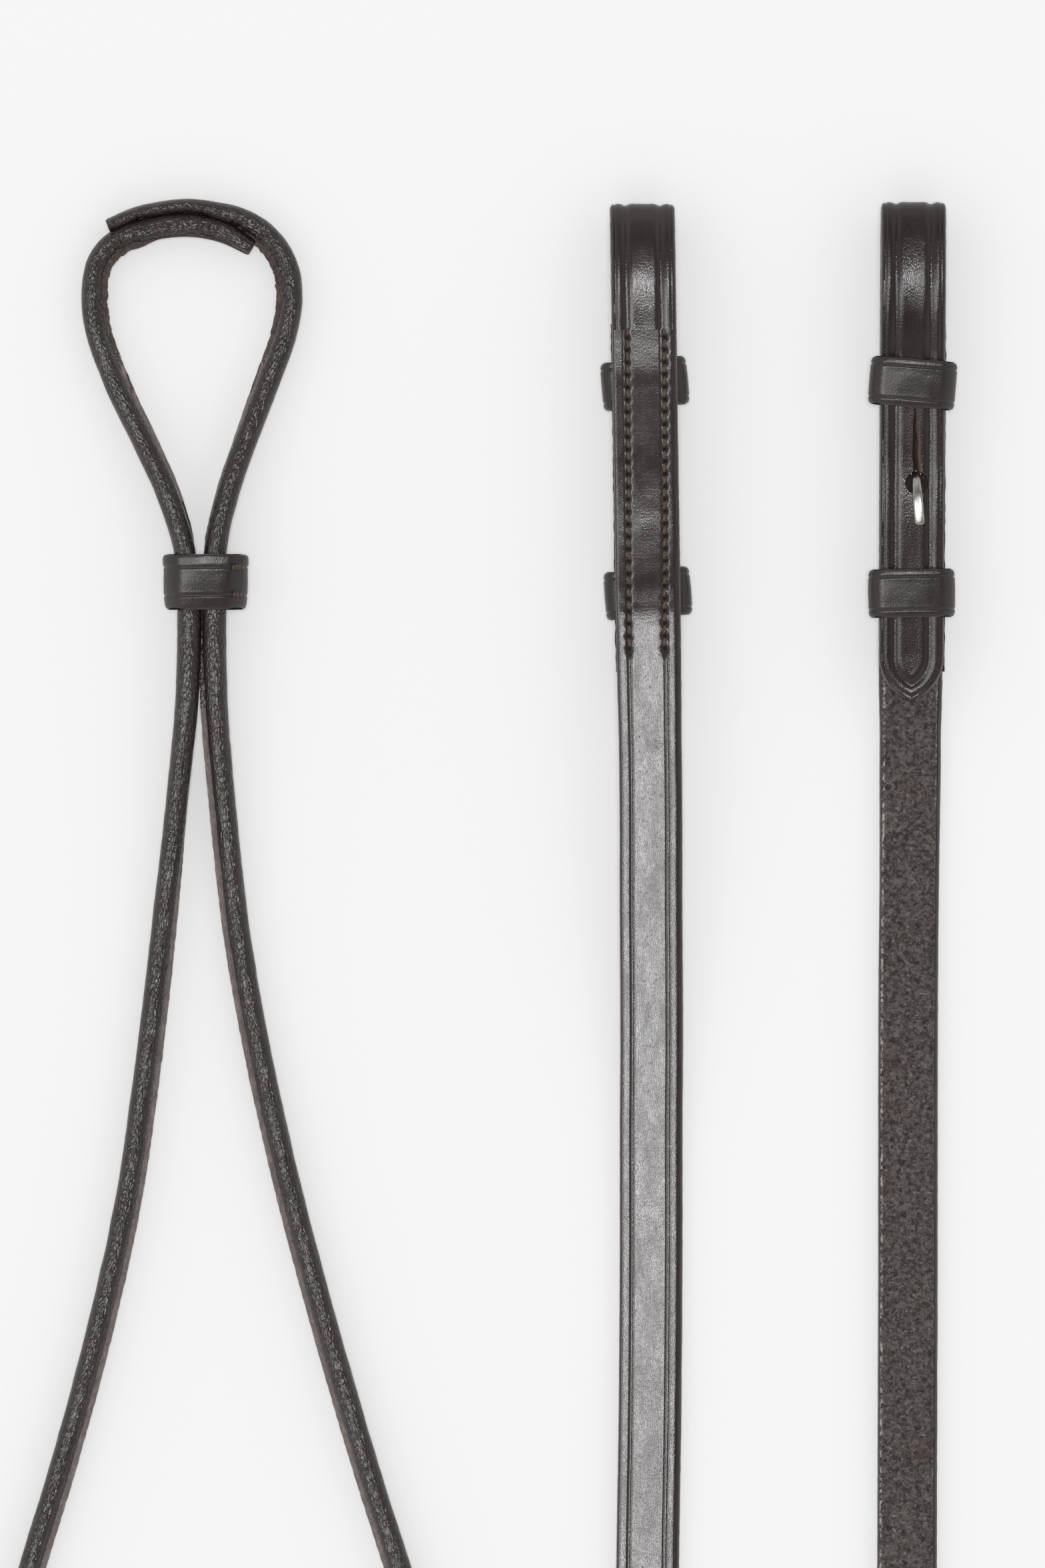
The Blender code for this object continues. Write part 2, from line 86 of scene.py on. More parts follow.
# ---------------------------------------------------------------- curves
def smooth_curve(points, steps=CURVE_STEPS):
    """A centripetal curve through every point, as a dense array."""
    points = [np.array(p, float) for p in points]
    points = [2 * points[0] - points[1], *points, 2 * points[-1] - points[-2]]
    dense = []
    for before, start, end, after in zip(points, points[1:], points[2:], points[3:]):
        a, b, c = (
            math.sqrt(max(np.linalg.norm((q - p)[:3]), 1e-9))
            for p, q in ((before, start), (start, end), (end, after))
        )
        leave = end - start + b * ((start - before) / a - (end - before) / (a + b))
        reach = end - start + b * ((after - end) / c - (after - start) / (b + c))
        for t in np.arange(steps) / steps:
            dense.append(
                (2 * t**3 - 3 * t**2 + 1) * start + (t**3 - 2 * t**2 + t) * leave
                + (3 * t**2 - 2 * t**3) * end + (t**3 - t**2) * reach
            )
    dense.append(points[-2])
    return np.array(dense)


def run_lengths(points):
    """How far along the first three coordinates each point lies."""
    steps = np.linalg.norm(np.diff(points[:, :3], axis=0), axis=1)
    return np.concatenate(([0.0], np.cumsum(steps)))


def at_lengths(dense, lengths):
    """The dense curve's values at the given distances along it."""
    run = run_lengths(dense)
    return np.stack([np.interp(lengths, run, column) for column in dense.T], axis=1)


def unit(vectors):
    return vectors / np.linalg.norm(vectors, axis=-1, keepdims=True)


def tangents_of(centres):
    return unit(np.gradient(centres, axis=0))


def table_frames(tangents):
    """For a roll lying on the table: side to the right of the way it runs, and up."""
    side = unit(np.cross(tangents, UP))
    return side, np.cross(side, tangents)


def strap_frames(tangents, face):
    """For a strap that bends up and down: side along +X, and up out of its grain face."""
    side = unit(np.array((1.0, 0.0, 0.0)) - tangents * tangents[:, :1])
    return side, face * np.cross(side, tangents)


def ruffle(points, size, seed=0.0):
    """Smooth noise from -1 to 1 at each point of an array, with features `size` apart."""
    flat = np.asarray(points, float).reshape(-1, 3) / size + seed
    values = np.array([noise.noise(Vector(p)) for p in flat])
    return values.reshape(np.shape(points)[:-1])


def ruffle_along(distances, size, seed):
    """The same noise at distances along one line."""
    return ruffle(np.stack([distances, 0 * distances, 0 * distances], -1), size, seed)


def ease(value, low, high):
    """0 below low, 1 above high and smooth between. low may be above high."""
    t = np.clip((np.asarray(value, float) - low) / (high - low), 0, 1)
    return t * t * (3 - 2 * t)


def spread_lengths(low, high, spans, coarse):
    """Distances from low to high, closer together inside each (from, to, step) span."""
    marks, here = [low], low
    while here < high - 1e-6:
        step = coarse
        for start, end, fine in spans:
            if start - 1e-6 <= here < end:
                step = min(step, fine)
        here += step
        marks.append(here)
    marks[-1] = high
    return np.array(marks)


# ---------------------------------------------------------------- meshes
def set_points(data, name, kind, field, values):
    """Stores a value or a vector at every vertex of a mesh."""
    attribute = data.attributes.get(name) or data.attributes.new(name, kind, "POINT")
    attribute.data.foreach_set(field, np.ravel(values))


def set_lay(data, lay):
    """Stores where each vertex lies in the straightened leather, in mm: across, along and up."""
    set_points(data, "lay", "FLOAT_VECTOR", "vector", np.asarray(lay) * MM)


def edit_mesh(data, change):
    """Runs a change on a bmesh copy of a mesh and writes it back."""
    copy = bmesh.new()
    copy.from_mesh(data)
    change(copy)
    copy.to_mesh(data)
    copy.free()


def mesh_object(name, vertices, faces, slots, materials, lay=None, sharp=40.0, shade=None):
    """vertices in mm. slots is each face's material index. shade is 1 where stitch holes get painted
    shade.
    """
    data = bpy.data.meshes.new(name)
    vertices = np.array(vertices, float)
    vertices[:, 2] = np.maximum(vertices[:, 2], LOWEST)
    data.from_pydata([tuple(v) for v in vertices * MM], [], faces)
    for material in materials:
        data.materials.append(material)
    data.polygons.foreach_set("material_index", slots)
    if lay is not None:
        set_lay(data, lay)
    if shade is not None:
        set_points(data, "shade", "FLOAT", "value", shade)
    edit_mesh(data, lambda mesh: bmesh.ops.recalc_face_normals(mesh, faces=mesh.faces))
    data.shade_smooth()
    data.set_sharp_from_angle(angle=math.radians(sharp))
    return link_object(name, data)


def grid_faces(rows, columns, closed_rows=False):
    """Quads of a tube: each row is a closed ring, and the rows may close on themselves too."""
    faces = []
    for i in range(rows if closed_rows else rows - 1):
        a, b = i * columns, (i + 1) % rows * columns
        for k in range(columns):
            j = (k + 1) % columns
            faces.append((a + k, a + j, b + j, b + k))
    return faces


def tube_faces(rows, columns, base=0):
    """Quads between closed rings and a cap on each end, for vertices counted on from base."""
    last = (rows - 1) * columns
    faces = grid_faces(rows, columns) + [tuple(range(columns)), tuple(range(last, last + columns))]
    return [tuple(base + corner for corner in face) for face in faces]


def tube(name, rings, lay, column_slots, materials, cap_slots=(0, 0), sharp=40.0, shade=None):
    """A closed tube through rings of equal count, with a flat cap on each end."""
    rows, columns = rings.shape[:2]
    faces = tube_faces(rows, columns)
    slots = [*column_slots * (rows - 1), *cap_slots]
    return mesh_object(name, rings.reshape(-1, 3), faces, slots, materials, lay, sharp, shade)


def placed(sections, centres, side, up):
    """Section points (rings, points, 2) carried to their centres."""
    across, rise = sections[..., :1], sections[..., 1:]
    return centres[:, None] + across * side[:, None] + rise * up[:, None]


def straightened(sections, lengths):
    """Across, along and up for every section point."""
    along = np.repeat(np.asarray(lengths, float)[:, None], sections.shape[1], axis=1)
    return np.stack([sections[..., 0], along, sections[..., 1]], axis=-1)


# ---------------------------------------------------------------- materials
def times(colour, share):
    return tuple(share * c for c in colour)


class Look:
    """A Principled material and short calls for the nodes that feed it."""

    def __init__(self, name, **constants):
        self.material = bpy.data.materials.new(name)
        self.material.use_nodes = True
        self.tree = self.material.node_tree
        self.shader = self.tree.nodes["Principled BSDF"]
        for socket, value in constants.items():
            self.shader.inputs[socket.replace("_", " ")].default_value = value

    def node(self, kind, inputs=(), **settings):
        made = self.tree.nodes.new("ShaderNode" + kind)
        for key, value in settings.items():
            setattr(made, key, value)
        for key, value in dict(inputs).items():
            self.feed(made.inputs[key], value)
        return made

    def feed(self, socket, value):
        if isinstance(value, bpy.types.NodeSocket):
            self.tree.links.new(value, socket)
        else:
            socket.default_value = value

    def place(self, stretch=(1, 1, 1), own=True):
        """Position in the straightened leather, or in the row frame, squeezed per axis."""
        if own:
            where = self.node("Attribute", attribute_name="lay").outputs["Vector"]
        else:
            where = self.node("TexCoord").outputs["Object"]
        return self.node("Mapping", {"Vector": where, "Scale": stretch}).outputs["Vector"]

    def clouds(self, where, size, detail, rough, warp=0.0):
        """Soft noise from 0 to 1, with features `size` mm apart."""
        inputs = {"Vector": where, "Scale": 1 / (size * MM), "Detail": detail}
        inputs |= {"Roughness": rough, "Distortion": warp}
        return self.node("TexNoise", inputs).outputs["Fac"]

    def cells(self, where, size, feature="F1"):
        """Distance to the nearest of many points, or to the edge between them."""
        inputs = {"Vector": where, "Scale": 1 / (size * MM)}
        return self.node("TexVoronoi", inputs, feature=feature).outputs["Distance"]

    def plies(self, where, scale, warp):
        """Strands twisted round each other, from 0 to 1."""
        inputs = {"Vector": where, "Scale": scale, "Distortion": warp}
        made = self.node("TexWave", inputs, wave_type="BANDS", bands_direction="DIAGONAL")
        return made.outputs["Fac"]

    def ramp(self, value, *stops):
        """Colours or greys at positions from 0 to 1."""
        made = self.node("ValToRGB", {"Fac": value})
        elements = made.color_ramp.elements
        while len(elements) < len(stops):
            elements.new(0.5)
        for element, (position, colour) in zip(elements, stops):
            element.position = position
            shade = colour if hasattr(colour, "__len__") else (colour,) * 3
            element.color = (*shade, 1.0)
        return made.outputs["Color"]

    def mix(self, share, a, b):
        made = self.node("Mix", data_type="RGBA")
        self.feed(made.inputs[0], share)
        for socket, value in ((made.inputs[6], a), (made.inputs[7], b)):
            self.feed(socket, value if isinstance(value, bpy.types.NodeSocket) else (*value, 1.0))
        return made.outputs[2]

    def tint(self, base, colour, value, start, end):
        """Mixes colour into base. start and end are (value, share of the colour)."""
        return self.mix(self.ramp(value, start, end), base, colour)

    def maths(self, how, *values):
        made = self.node("Math", operation=how)
        for socket, value in zip(made.inputs, values):
            self.feed(socket, value)
        return made.outputs["Value"]

    def split(self, vector):
        return self.node("SeparateXYZ", {"Vector": vector}).outputs

    def lean(self, slopes):
        """A surface that leans gently along the leather: slopes are (mm along, degrees)."""
        low, high = slopes[0][0], slopes[-1][0]
        ys = np.linspace(low, high, 30)
        rise = np.tan(np.radians(np.interp(ys, *zip(*slopes))))
        height = np.concatenate(([0], np.cumsum((rise[1:] + rise[:-1]) / 2 * np.diff(ys))))
        depth = np.ptp(height)
        height = (height - height.min()) / depth
        inputs = {"Value": self.split(self.place())["Y"], "From Min": low * MM, "From Max": high * MM}
        made = self.node("FloatCurve", {"Value": self.node("MapRange", inputs).outputs["Result"]})
        curve = made.mapping.curves[0]
        marks = (ys - low) / (high - low)
        curve.points[0].location, curve.points[-1].location = (0, height[0]), (1, height[-1])
        for mark, value in zip(marks[1:-1], height[1:-1]):
            curve.points.new(mark, value)
        made.mapping.update()
        return self.bump(made.outputs["Value"], depth)

    def bump(self, height, depth, under=None):
        """depth in mm between heights 0 and 1."""
        inputs = {"Height": height, "Distance": depth * MM, "Strength": 1.0}
        if under is not None:
            inputs["Normal"] = under
        return self.node("Bump", inputs).outputs["Normal"]

    def finish(self, colour, roughness, normal):
        for socket, value in (("Base Color", colour), ("Roughness", roughness), ("Normal", normal)):
            self.feed(self.shader.inputs[socket], value)
        return self.material


def grain_leather(name, dark, light, rough, shine, pore, pore_depth, slopes=None):
    """Waxed grain: pores, fine creases and a cloudy polish."""
    look = Look(name, Specular_IOR_Level=shine)
    where = look.place()
    long_grain = look.place((1.0, 0.55, 1.0))
    fine = look.clouds(where, 1.3, 3, 0.65)
    pores = look.cells(long_grain, pore, "DISTANCE_TO_EDGE")
    speck = look.ramp(look.cells(long_grain, 1.15), (0.05, 1.0), (0.2, 0.0))
    base = look.ramp(look.clouds(where, 14, 3, 0.6), (0.3, dark), (0.72, light))
    base = look.tint(base, light, fine, (0.35, 0.0), (0.75, 0.55))
    base = look.mix(look.maths("MULTIPLY", speck, 0.55), base, times(dark, 0.45))
    # Painted shade: where shade is 1, in the stitch holes, the base colour is painted nearly black.
    shade = look.node("Attribute", attribute_name="shade").outputs["Fac"]
    base = look.mix(shade, base, (0.003, 0.0025, 0.0025))
    smears = look.clouds(look.place((1.0, 0.4, 1.0)), 3.6, 4, 0.7)
    roughness = look.ramp(smears, (0.3, rough - 0.04), (0.7, rough + 0.07))
    roughness = look.maths("MAXIMUM", roughness, look.maths("MULTIPLY", shade, 0.9))
    normal = look.lean(slopes) if slopes else None
    normal = look.bump(look.ramp(pores, (0.0, 0.0), (0.28, 1.0)), pore_depth, normal)
    normal = look.bump(fine, 1.6 * pore_depth, normal)
    normal = look.bump(look.maths("SUBTRACT", 1.0, speck), pore_depth, normal)
    return look.finish(base, roughness, normal)


def flesh_leather(name, dark, light, rim):
    """The dyed flesh side: short matted fibres, pale flecks that are partly fibres and partly painted
    highlight off the wax, and dust along the bevels.
    """
    look = Look(
        name, Specular_IOR_Level=0.35, Sheen_Weight=0.12, Sheen_Roughness=0.5,
        Sheen_Tint=(0.75, 0.68, 0.66, 1.0),
    )
    where = look.place()
    fibres = look.clouds(where, 1.1, 4, 0.72, 0.8)
    crossing = look.clouds(look.place((0.8, 1.0, 1.0)), 0.8, 3, 0.7, 0.4)
    base = look.ramp(fibres, (0.40, dark), (0.62, light))
    # Bright flecks: partly pale fibres, partly painted highlight standing in for glints off the wax.
    base = look.tint(base, times(light, 2.6), crossing, (0.60, 0.0), (0.70, 0.8))
    pits = look.clouds(where, 1.6, 3, 0.6)
    base = look.tint(base, times(dark, 0.35), pits, (0.34, 0.8), (0.46, 0.0))
    stain = tuple(c * k for c, k in zip(dark, (1.9, 1.0, 0.95)))
    base = look.tint(base, stain, look.clouds(where, 13, 3, 0.6), (0.55, 0.0), (0.75, 0.5))
    across = look.maths("ABSOLUTE", look.split(where)["X"])
    off_rim = look.maths("ABSOLUTE", look.maths("SUBTRACT", across, rim * MM))
    line = look.ramp(look.maths("DIVIDE", off_rim, 0.45 * MM), (0.25, 1.0), (1.0, 0.0))
    dust = look.ramp(look.clouds(look.place((1, 0.7, 1)), 0.9, 3, 0.7), (0.48, 0.0), (0.62, 0.9))
    base = look.mix(look.maths("MULTIPLY", line, dust), base, (0.42, 0.38, 0.36))
    normal = look.bump(crossing, 0.10, look.bump(fibres, 0.16))
    return look.finish(base, look.ramp(fibres, (0.35, 0.85), (0.65, 0.5)), normal)


def edge_leather(name, dark, light):
    """A dyed and burnished cut edge: darkest by the faces, paler round the middle, partly its own
    tone and partly a painted highlight on the outward curve.
    """
    look = Look(name, Specular_IOR_Level=0.5)
    layers = look.clouds(look.place((0.15, 0.06, 1.0)), 0.5, 3, 0.6, 0.3)
    nicks = look.clouds(look.place(), 0.8, 3, 0.7)
    height = look.maths("ABSOLUTE", look.split(look.place())["Z"])
    # Paler round the middle: partly the edge's own tone, partly painted highlight where the edge
    # curves out to face sideways.
    middle = look.ramp(look.maths("DIVIDE", height, 1.5 * MM), (0.35, 1.0), (0.8, 0.0))
    base = look.tint(look.mix(middle, dark, light), light, layers, (0.4, 0.0), (0.7, 0.4))
    base = look.tint(base, times(dark, 0.5), nicks, (0.5, 0.0), (0.8, 0.6))
    normal = look.bump(nicks, 0.03, look.bump(layers, 0.02))
    return look.finish(base, look.ramp(nicks, (0.3, 0.30), (0.7, 0.45)), normal)


def raw_leather(name, dark, light, size):
    """A raw or roughly trimmed edge: open fibres."""
    look = Look(name, Specular_IOR_Level=0.2, Sheen_Weight=0.15)
    strands = look.clouds(look.place((1.0, 0.4, 1.0)), size, 4, 0.75, 1.0)
    fuzz = look.clouds(look.place(), 0.35, 2, 0.7)
    base = look.ramp(strands, (0.36, dark), (0.66, light))
    base = look.tint(base, dark, look.clouds(look.place(), 5, 2, 0.6), (0.4, 0.0), (0.7, 0.5))
    normal = look.bump(fuzz, 0.08, look.bump(strands, 0.14))
    return look.finish(base, look.ramp(fuzz, (0.3, 0.8), (0.7, 0.95)), normal)


def twisted_thread(name, dark, light):
    """Waxed thread: fine plies with dust and wax between them."""
    look = Look(name, Specular_IOR_Level=0.35)
    plies = look.plies(look.place(), 900.0, 1.5)
    dust = look.clouds(look.place(), 0.7, 3, 0.7)
    base = look.tint(look.mix(plies, dark, light), dark, dust, (0.45, 0.0), (0.75, 0.6))
    return look.finish(base, look.ramp(dust, (0.3, 0.5), (0.7, 0.75)), look.bump(plies, 0.06))


def polished_nickel(name):
    """Plated metal with faint smears and fine scratches along it."""
    look = Look(name, Metallic=1.0)
    smear = look.clouds(look.place(own=False), 1.6, 3, 0.6)
    scratch = look.clouds(look.place((9.0, 0.5, 9.0), own=False), 1.0, 3, 0.7)
    base = look.ramp(smear, (0.3, (0.36, 0.345, 0.32)), (0.7, (0.52, 0.505, 0.48)))
    rough_smear = look.ramp(smear, (0.3, 0.24), (0.7, 0.36))
    roughness = look.mix(0.5, rough_smear, look.ramp(scratch, (0.4, 0.16), (0.8, 0.40)))
    return look.finish(base, roughness, look.bump(scratch, 0.01))


def cotton(name):
    """Undyed filler cord, three plies twisted."""
    look = Look(name, Sheen_Weight=0.3)
    plies = look.plies(look.place(own=False), 260.0, 2.0)
    fuzz = look.clouds(look.place(own=False), 0.6, 3, 0.7)
    base = look.mix(plies, (0.30, 0.25, 0.19), (0.56, 0.50, 0.41))
    base = look.mix(look.maths("MULTIPLY", fuzz, 0.4), base, (0.42, 0.36, 0.28))
    return look.finish(base, look.ramp(fuzz, (0.3, 0.8), (0.7, 0.95)), look.bump(plies, 0.3))


# How far the waxed faces' shading leans along the leather: (mm along, degrees).
STRAP_SLOPES = (
    (-110, 0), (-98, -1.9), (-83, -3.8), (-68, -5.3), (-53, -6.5), (-38, -6.5), (-23, -5),
    (-8, -3.1), (10, -1), (20, 0), (38, 0), (44, 9.5), (58, 9.5), (62.5, 3.8), (66, 3.8),
    (72, 9.5), (100, 9.5), (107, 6.5), (112, 2), (114, 0),
)
TAB_SLOPES = (
    (18, 10), (61, 10), (67, 7), (71, 4.8), (75, 5), (82, 10), (103, 10), (109, 5), (113, 0),
    (118, 0),
)
KEEPER_SLOPES = ((-8, 9.3), (8, 9.3))
# name, dark and light colour, roughness, specular level, pores' size and depth (mm), slopes
STRAP_GRAIN, LOOP_GRAIN, TAB_GRAIN, KEEPER_GRAIN, ROLL_GRAIN = (
    grain_leather(*values) for values in (
        ("strap_grain", (0.017, 0.0105, 0.0100), (0.032, 0.022, 0.021), 0.21, 0.55, 0.45, 0.010,
         STRAP_SLOPES),
        ("loop_grain", (0.016, 0.0100, 0.0096), (0.030, 0.021, 0.020), 0.21, 0.55, 0.45, 0.012),
        ("tab_grain", (0.014, 0.0088, 0.0085), (0.026, 0.018, 0.0172), 0.22, 0.5, 0.45, 0.016,
         TAB_SLOPES),
        ("keeper_grain", (0.0155, 0.0110, 0.0108), (0.029, 0.0215, 0.021), 0.28, 0.5, 0.6, 0.014,
         KEEPER_SLOPES),
        ("roll_grain", (0.014, 0.0090, 0.0085), (0.028, 0.0195, 0.018), 0.25, 0.58, 0.95, 0.095),
    )
)
FLESH_RIM = 6.85  # from the strap's middle to the line of dust along its bevel
FLESH = flesh_leather("flesh_side", (0.023, 0.0185, 0.0175), (0.102, 0.086, 0.080), FLESH_RIM)
EDGE = edge_leather("burnished_edge", (0.012, 0.009, 0.0088), (0.085, 0.068, 0.070))
FIN = raw_leather("seam_edge", (0.12, 0.100, 0.096), (0.27, 0.228, 0.218), 0.8)
# A darker copy of the seam edge, used in the hand loop.
DARKER_LOOP_FIN = raw_leather("seam_edge_darker", (0.045, 0.034, 0.031), (0.15, 0.115, 0.107), 0.8)
RAW = raw_leather("raw_cut", (0.085, 0.030, 0.017), (0.34, 0.135, 0.075), 0.4)
LINING_LEATHER = raw_leather("backing", (0.016, 0.011, 0.010), (0.050, 0.034, 0.029), 0.6)
THREAD = twisted_thread("waxed_thread", (0.038, 0.025, 0.018), (0.16, 0.110, 0.080))
NICKEL = polished_nickel("polished_nickel")
COTTON = cotton("filler_cotton")


# ---------------------------------------------------------------- rolled lengths (the cords)
ROLL_HALF = 3.0
ROLL_TALL = 2.9
RING_STEP, LOOP_STEP = 0.9, 0.42
LOOP_FROM_Y = 278.0  # from here to the lapped ends the roll is wrinkled
PAINTED_SHADE_BETWEEN_ROLLS = (192, 245)  # here the seams' edges lie in the gap between the two rolls and take the dark grain material as painted shade
SEAM_OPENING = math.radians(20)
SEAM_PITCH, SEAM_REACH = 3.2, 1.5
SEAM_ENDS = (33, 25)  # the seam's edge fades out this far from the lapped end
ROLL_LOWEST = 0.05
BODY_COLUMNS = 36
# Middle lines from the flat strap round to the lapped ends at the top of the hand loop: x, y, and
# how far the seam's edge droops below level (degrees). Where they aren't ROLL_HALF, the height of
# the middle line and half the thickness in the plane of the floor follow.
NEAR_ROLL = [
    (50.2, -168, 20), (50, -192, 20), (47, -224, 20), (36.5, -257, 22), (17.5, -284, 24),
    (-8, -302, 26), (-39, -308.5, 28), (-70, -303, 28), (-97, -286, 26), (-115.5, -258, 22),
    (-124.6, -222, 18), (-126.8, -182, 15), (-126.6, -141, 12), (-123.8, -100, 8), (-117.8, -64, 6),
    (-109, -30, 8), (-101.1, -4.1, 10), (-91.8, 30.3, 15), (-84.2, 64.7, 20), (-79.15, 99.1, 27),
    (-75, 133.5, 38), (-71.05, 167.9, 62, 4.2, 3), (-68.6, 192, 78, 5.7, 3.15),
    (-67.85, 212.6, 82, 5.7, 3.3), (-68.1, 224, 78, 5.7, 3.2), (-69.3, 233.2, 58, 5.7, 3),
    (-73.65, 247, 46, 5.2, 3), (-80.05, 260.8, 38, 4, 3), (-86.7, 274.5, 28, 3.1, 3),
    (-91.8, 288.3, 20), (-92.9, 297.5, 10), (-91.5, 306.4, 6), (-86.8, 311.9, 4, 3, 3.1),
    (-79.3, 314.7, 2, 3, 3.3), (-68.5, 316, 0, 3, 3.3), (-59.5, 314.3, 0, 3, 3.05),
    (-51.7, 310.1, 0, 3, 2.4),
]
OFF_ROLL = [
    (117.2, -168, 24), (117.2, -200, 24), (117, -235, 24), (114.5, -268, 24), (103.5, -297.5, 24),
    (84.5, -313.7, 24), (61, -319.5, 24), (38, -315.3, 20, 3.3, 3), (20.5, -304, 12, 6.6, 3),
    (10.6, -289.5, 6, 9.8, 3), (6.3, -264, 10, 6.8, 3), (5.5, -238, 18, 3.3, 3), (6, -200, 22),
    (6, -160, 24), (5, -122, 24), (1.7, -88, 24), (-5, -58, 24), (-13.7, -29.9, 24),
    (-21.9, -4.1, 24), (-31.9, 30.3, 20), (-41.1, 64.7, 15), (-48.95, 99.1, 9), (-55.1, 133.5, 7),
    (-58.9, 167.9, 8, 4.2, 3), (-60.9, 192, 18, 5.7, 3.1), (-61.45, 212.6, 36, 5.7, 3.2),
    (-61.3, 224, 42, 5.7, 3.1), (-61, 233.2, 52, 5.7, 3), (-57.9, 247, 52, 5.2, 3),
    (-53.2, 260.8, 50, 4, 3), (-47.9, 274.5, 36, 3.1, 3), (-43, 288.3, 30), (-41.6, 298, 18),
    (-43.2, 306.6, 14), (-47.7, 313.2, 20), (-53.7, 317.3, 40, 3, 2.9), (-60.2, 319.6, 55, 3, 2.4),
    (-68.5, 320.9, 60, 3, 2), (-79.9, 319.4, 60, 3, 1.9), (-89, 315.9, 60, 3, 1.75),
]


def seam_edge(reach, half_thick):
    """Out along the seam's edge and back, as (out, across): two plies with a line between."""
    profile = [
        (0.0, 0.60), (0.22, 0.80), (0.6, 0.97), (0.95, 1.0), (1.0, 0.60), (1.02, 0.16), (0.93, 0.0),
    ]
    there = [(out * reach, across * half_thick) for out, across in profile]
    return np.array(there + [(out, -across) for out, across in reversed(there[:-1])])


def roll_body(lengths, bend, wide, droop, pucker, seam_side):
    """Sections of the roll's surface, from one side of the seam round to the other."""
    around = np.linspace(SEAM_OPENING, 2 * math.pi - SEAM_OPENING, BODY_COLUMNS)
    angle = around - droop[:, None]
    along = np.repeat(lengths[:, None], BODY_COLUMNS, axis=1)
    spot = np.stack([3 * np.cos(around) + 0 * along, along, 3 * np.sin(around) + 0 * along], -1)
    swell = 0.10 * ruffle(spot * (1, 0.45, 1), 3.4, seam_side * 7.0)
    swell += 0.07 * ruffle(spot * (1, 0.6, 1), 1.5, seam_side * 31.0)
    crumple = ease(bend, 0.012, 0.04)[:, None] * (0.5 + 0.5 * np.cos(angle))
    swell -= 1.1 * crumple * np.abs(ruffle(spot * (0.3, 1.0, 0.3), 1.35, 50.0))
    swell -= 0.6 * crumple * np.abs(ruffle(spot * (0.6, 1.0, 0.6), 0.75, 90.0))
    near_seam = np.exp(-((around - SEAM_OPENING) / 0.35) ** 2)
    near_seam = near_seam + near_seam[::-1]
    swell -= near_seam * (0.22 + 0.06 * pucker[:, None])
    return np.stack(
        [(wide[:, None] + swell) * np.cos(angle), (ROLL_TALL + swell) * np.sin(angle)], -1
    )


def seam_sections(lengths, bend, wide, droop, pucker, seam_side):
    """Sections of the seam's two raw edges, which stand out from the roll between its sides."""
    ragged = ruffle_along(lengths, 2.3, seam_side * 3.7) + 0.7 * ruffle_along(lengths, 0.8, 9.1)
    tight = ease(bend, 0.012, 0.03)
    frayed = 0.09 + 0.26 * tight
    reach = (SEAM_REACH + frayed * ragged) * ease(lengths, 0, 12) * (1 - 0.05 * pucker)
    reach *= 1 - 0.08 * tight
    reach = np.maximum(reach * (1 - 0.92 * ease(lengths[-1] - lengths, *SEAM_ENDS)), 0.12)
    sections = []
    for k in range(len(lengths)):
        out = np.array((math.cos(droop[k]), -math.sin(droop[k])))
        over = np.array((-out[1], out[0]))
        root = out * (wide[k] * out[0] ** 2 + ROLL_TALL * out[1] ** 2 - 0.32)
        edge = seam_edge(reach[k], 0.85 + 0.08 * ragged[k])[::-1]
        sections.append(root + edge[:, :1] * out + edge[:, 1:] * over)
    return np.array(sections)


def rein_roll(rein, route, radius, seam_side):
    """A strap rolled round its filler, with the sewn seam's two raw edges standing out."""
    usual = (ROLL_HALF, ROLL_HALF)
    dense = smooth_curve([(x, y, *(other or usual), droop) for x, y, droop, *other in route])
    run = run_lengths(dense)
    total = run[-1]
    looped = run[np.argmax(dense[:, 1] > LOOP_FROM_Y)]
    lengths = spread_lengths(0, total, [(looped, total, LOOP_STEP)], RING_STEP)
    stations = at_lengths(dense, lengths)
    centres, wide = stations[:, :3], radius * stations[:, 3] / ROLL_HALF
    droop = np.radians(stations[:, 4])
    tangents = tangents_of(centres)
    side, up = table_frames(tangents)
    bend = np.linalg.norm(np.gradient(tangents, lengths, axis=0), axis=1)
    pucker = 0.5 + 0.5 * np.cos(2 * math.pi * lengths / SEAM_PITCH)
    shape = (lengths, bend, wide, droop, pucker, seam_side)
    sections = np.concatenate([roll_body(*shape), seam_sections(*shape)], axis=1)
    for ring, scale in ((0, 0.9), (-1, 0.86), (-2, 0.97)):
        sections[ring] *= scale
    rings = placed(sections, centres, side * seam_side, up)
    rings[..., 2] = np.maximum(rings[..., 2], ROLL_LOWEST)
    grain, fin, darker_fin = 0, 1, 4
    slots = [grain] * BODY_COLUMNS + [fin] * (sections.shape[1] - BODY_COLUMNS)
    made = tube(
        f"{rein}_rein_roll", rings, straightened(sections, lengths), slots,
        [ROLL_GRAIN, FIN, EDGE, RAW, DARKER_LOOP_FIN], cap_slots=(2, 3), sharp=50,
    )
    # Beyond LOOP_FROM_Y the seam edge takes the darker copy of its material.
    for polygon in made.data.polygons:
        if polygon.material_index == fin:
            y = polygon.center.y / MM
            # Painted shade: between the touching rolls the pale seam edge takes the dark grain
            # material.
            if PAINTED_SHADE_BETWEEN_ROLLS[0] < y < PAINTED_SHADE_BETWEEN_ROLLS[1]:
                polygon.material_index = grain
            elif y > LOOP_FROM_Y + 6 * math.sin(7.1 * y):
                polygon.material_index = darker_fin
    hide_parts(f"{rein}_rolled_cover")
    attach(made, "root")


rein_roll("near", NEAR_ROLL, 2.85, 1)
rein_roll("off", OFF_ROLL, 2.9, -1)


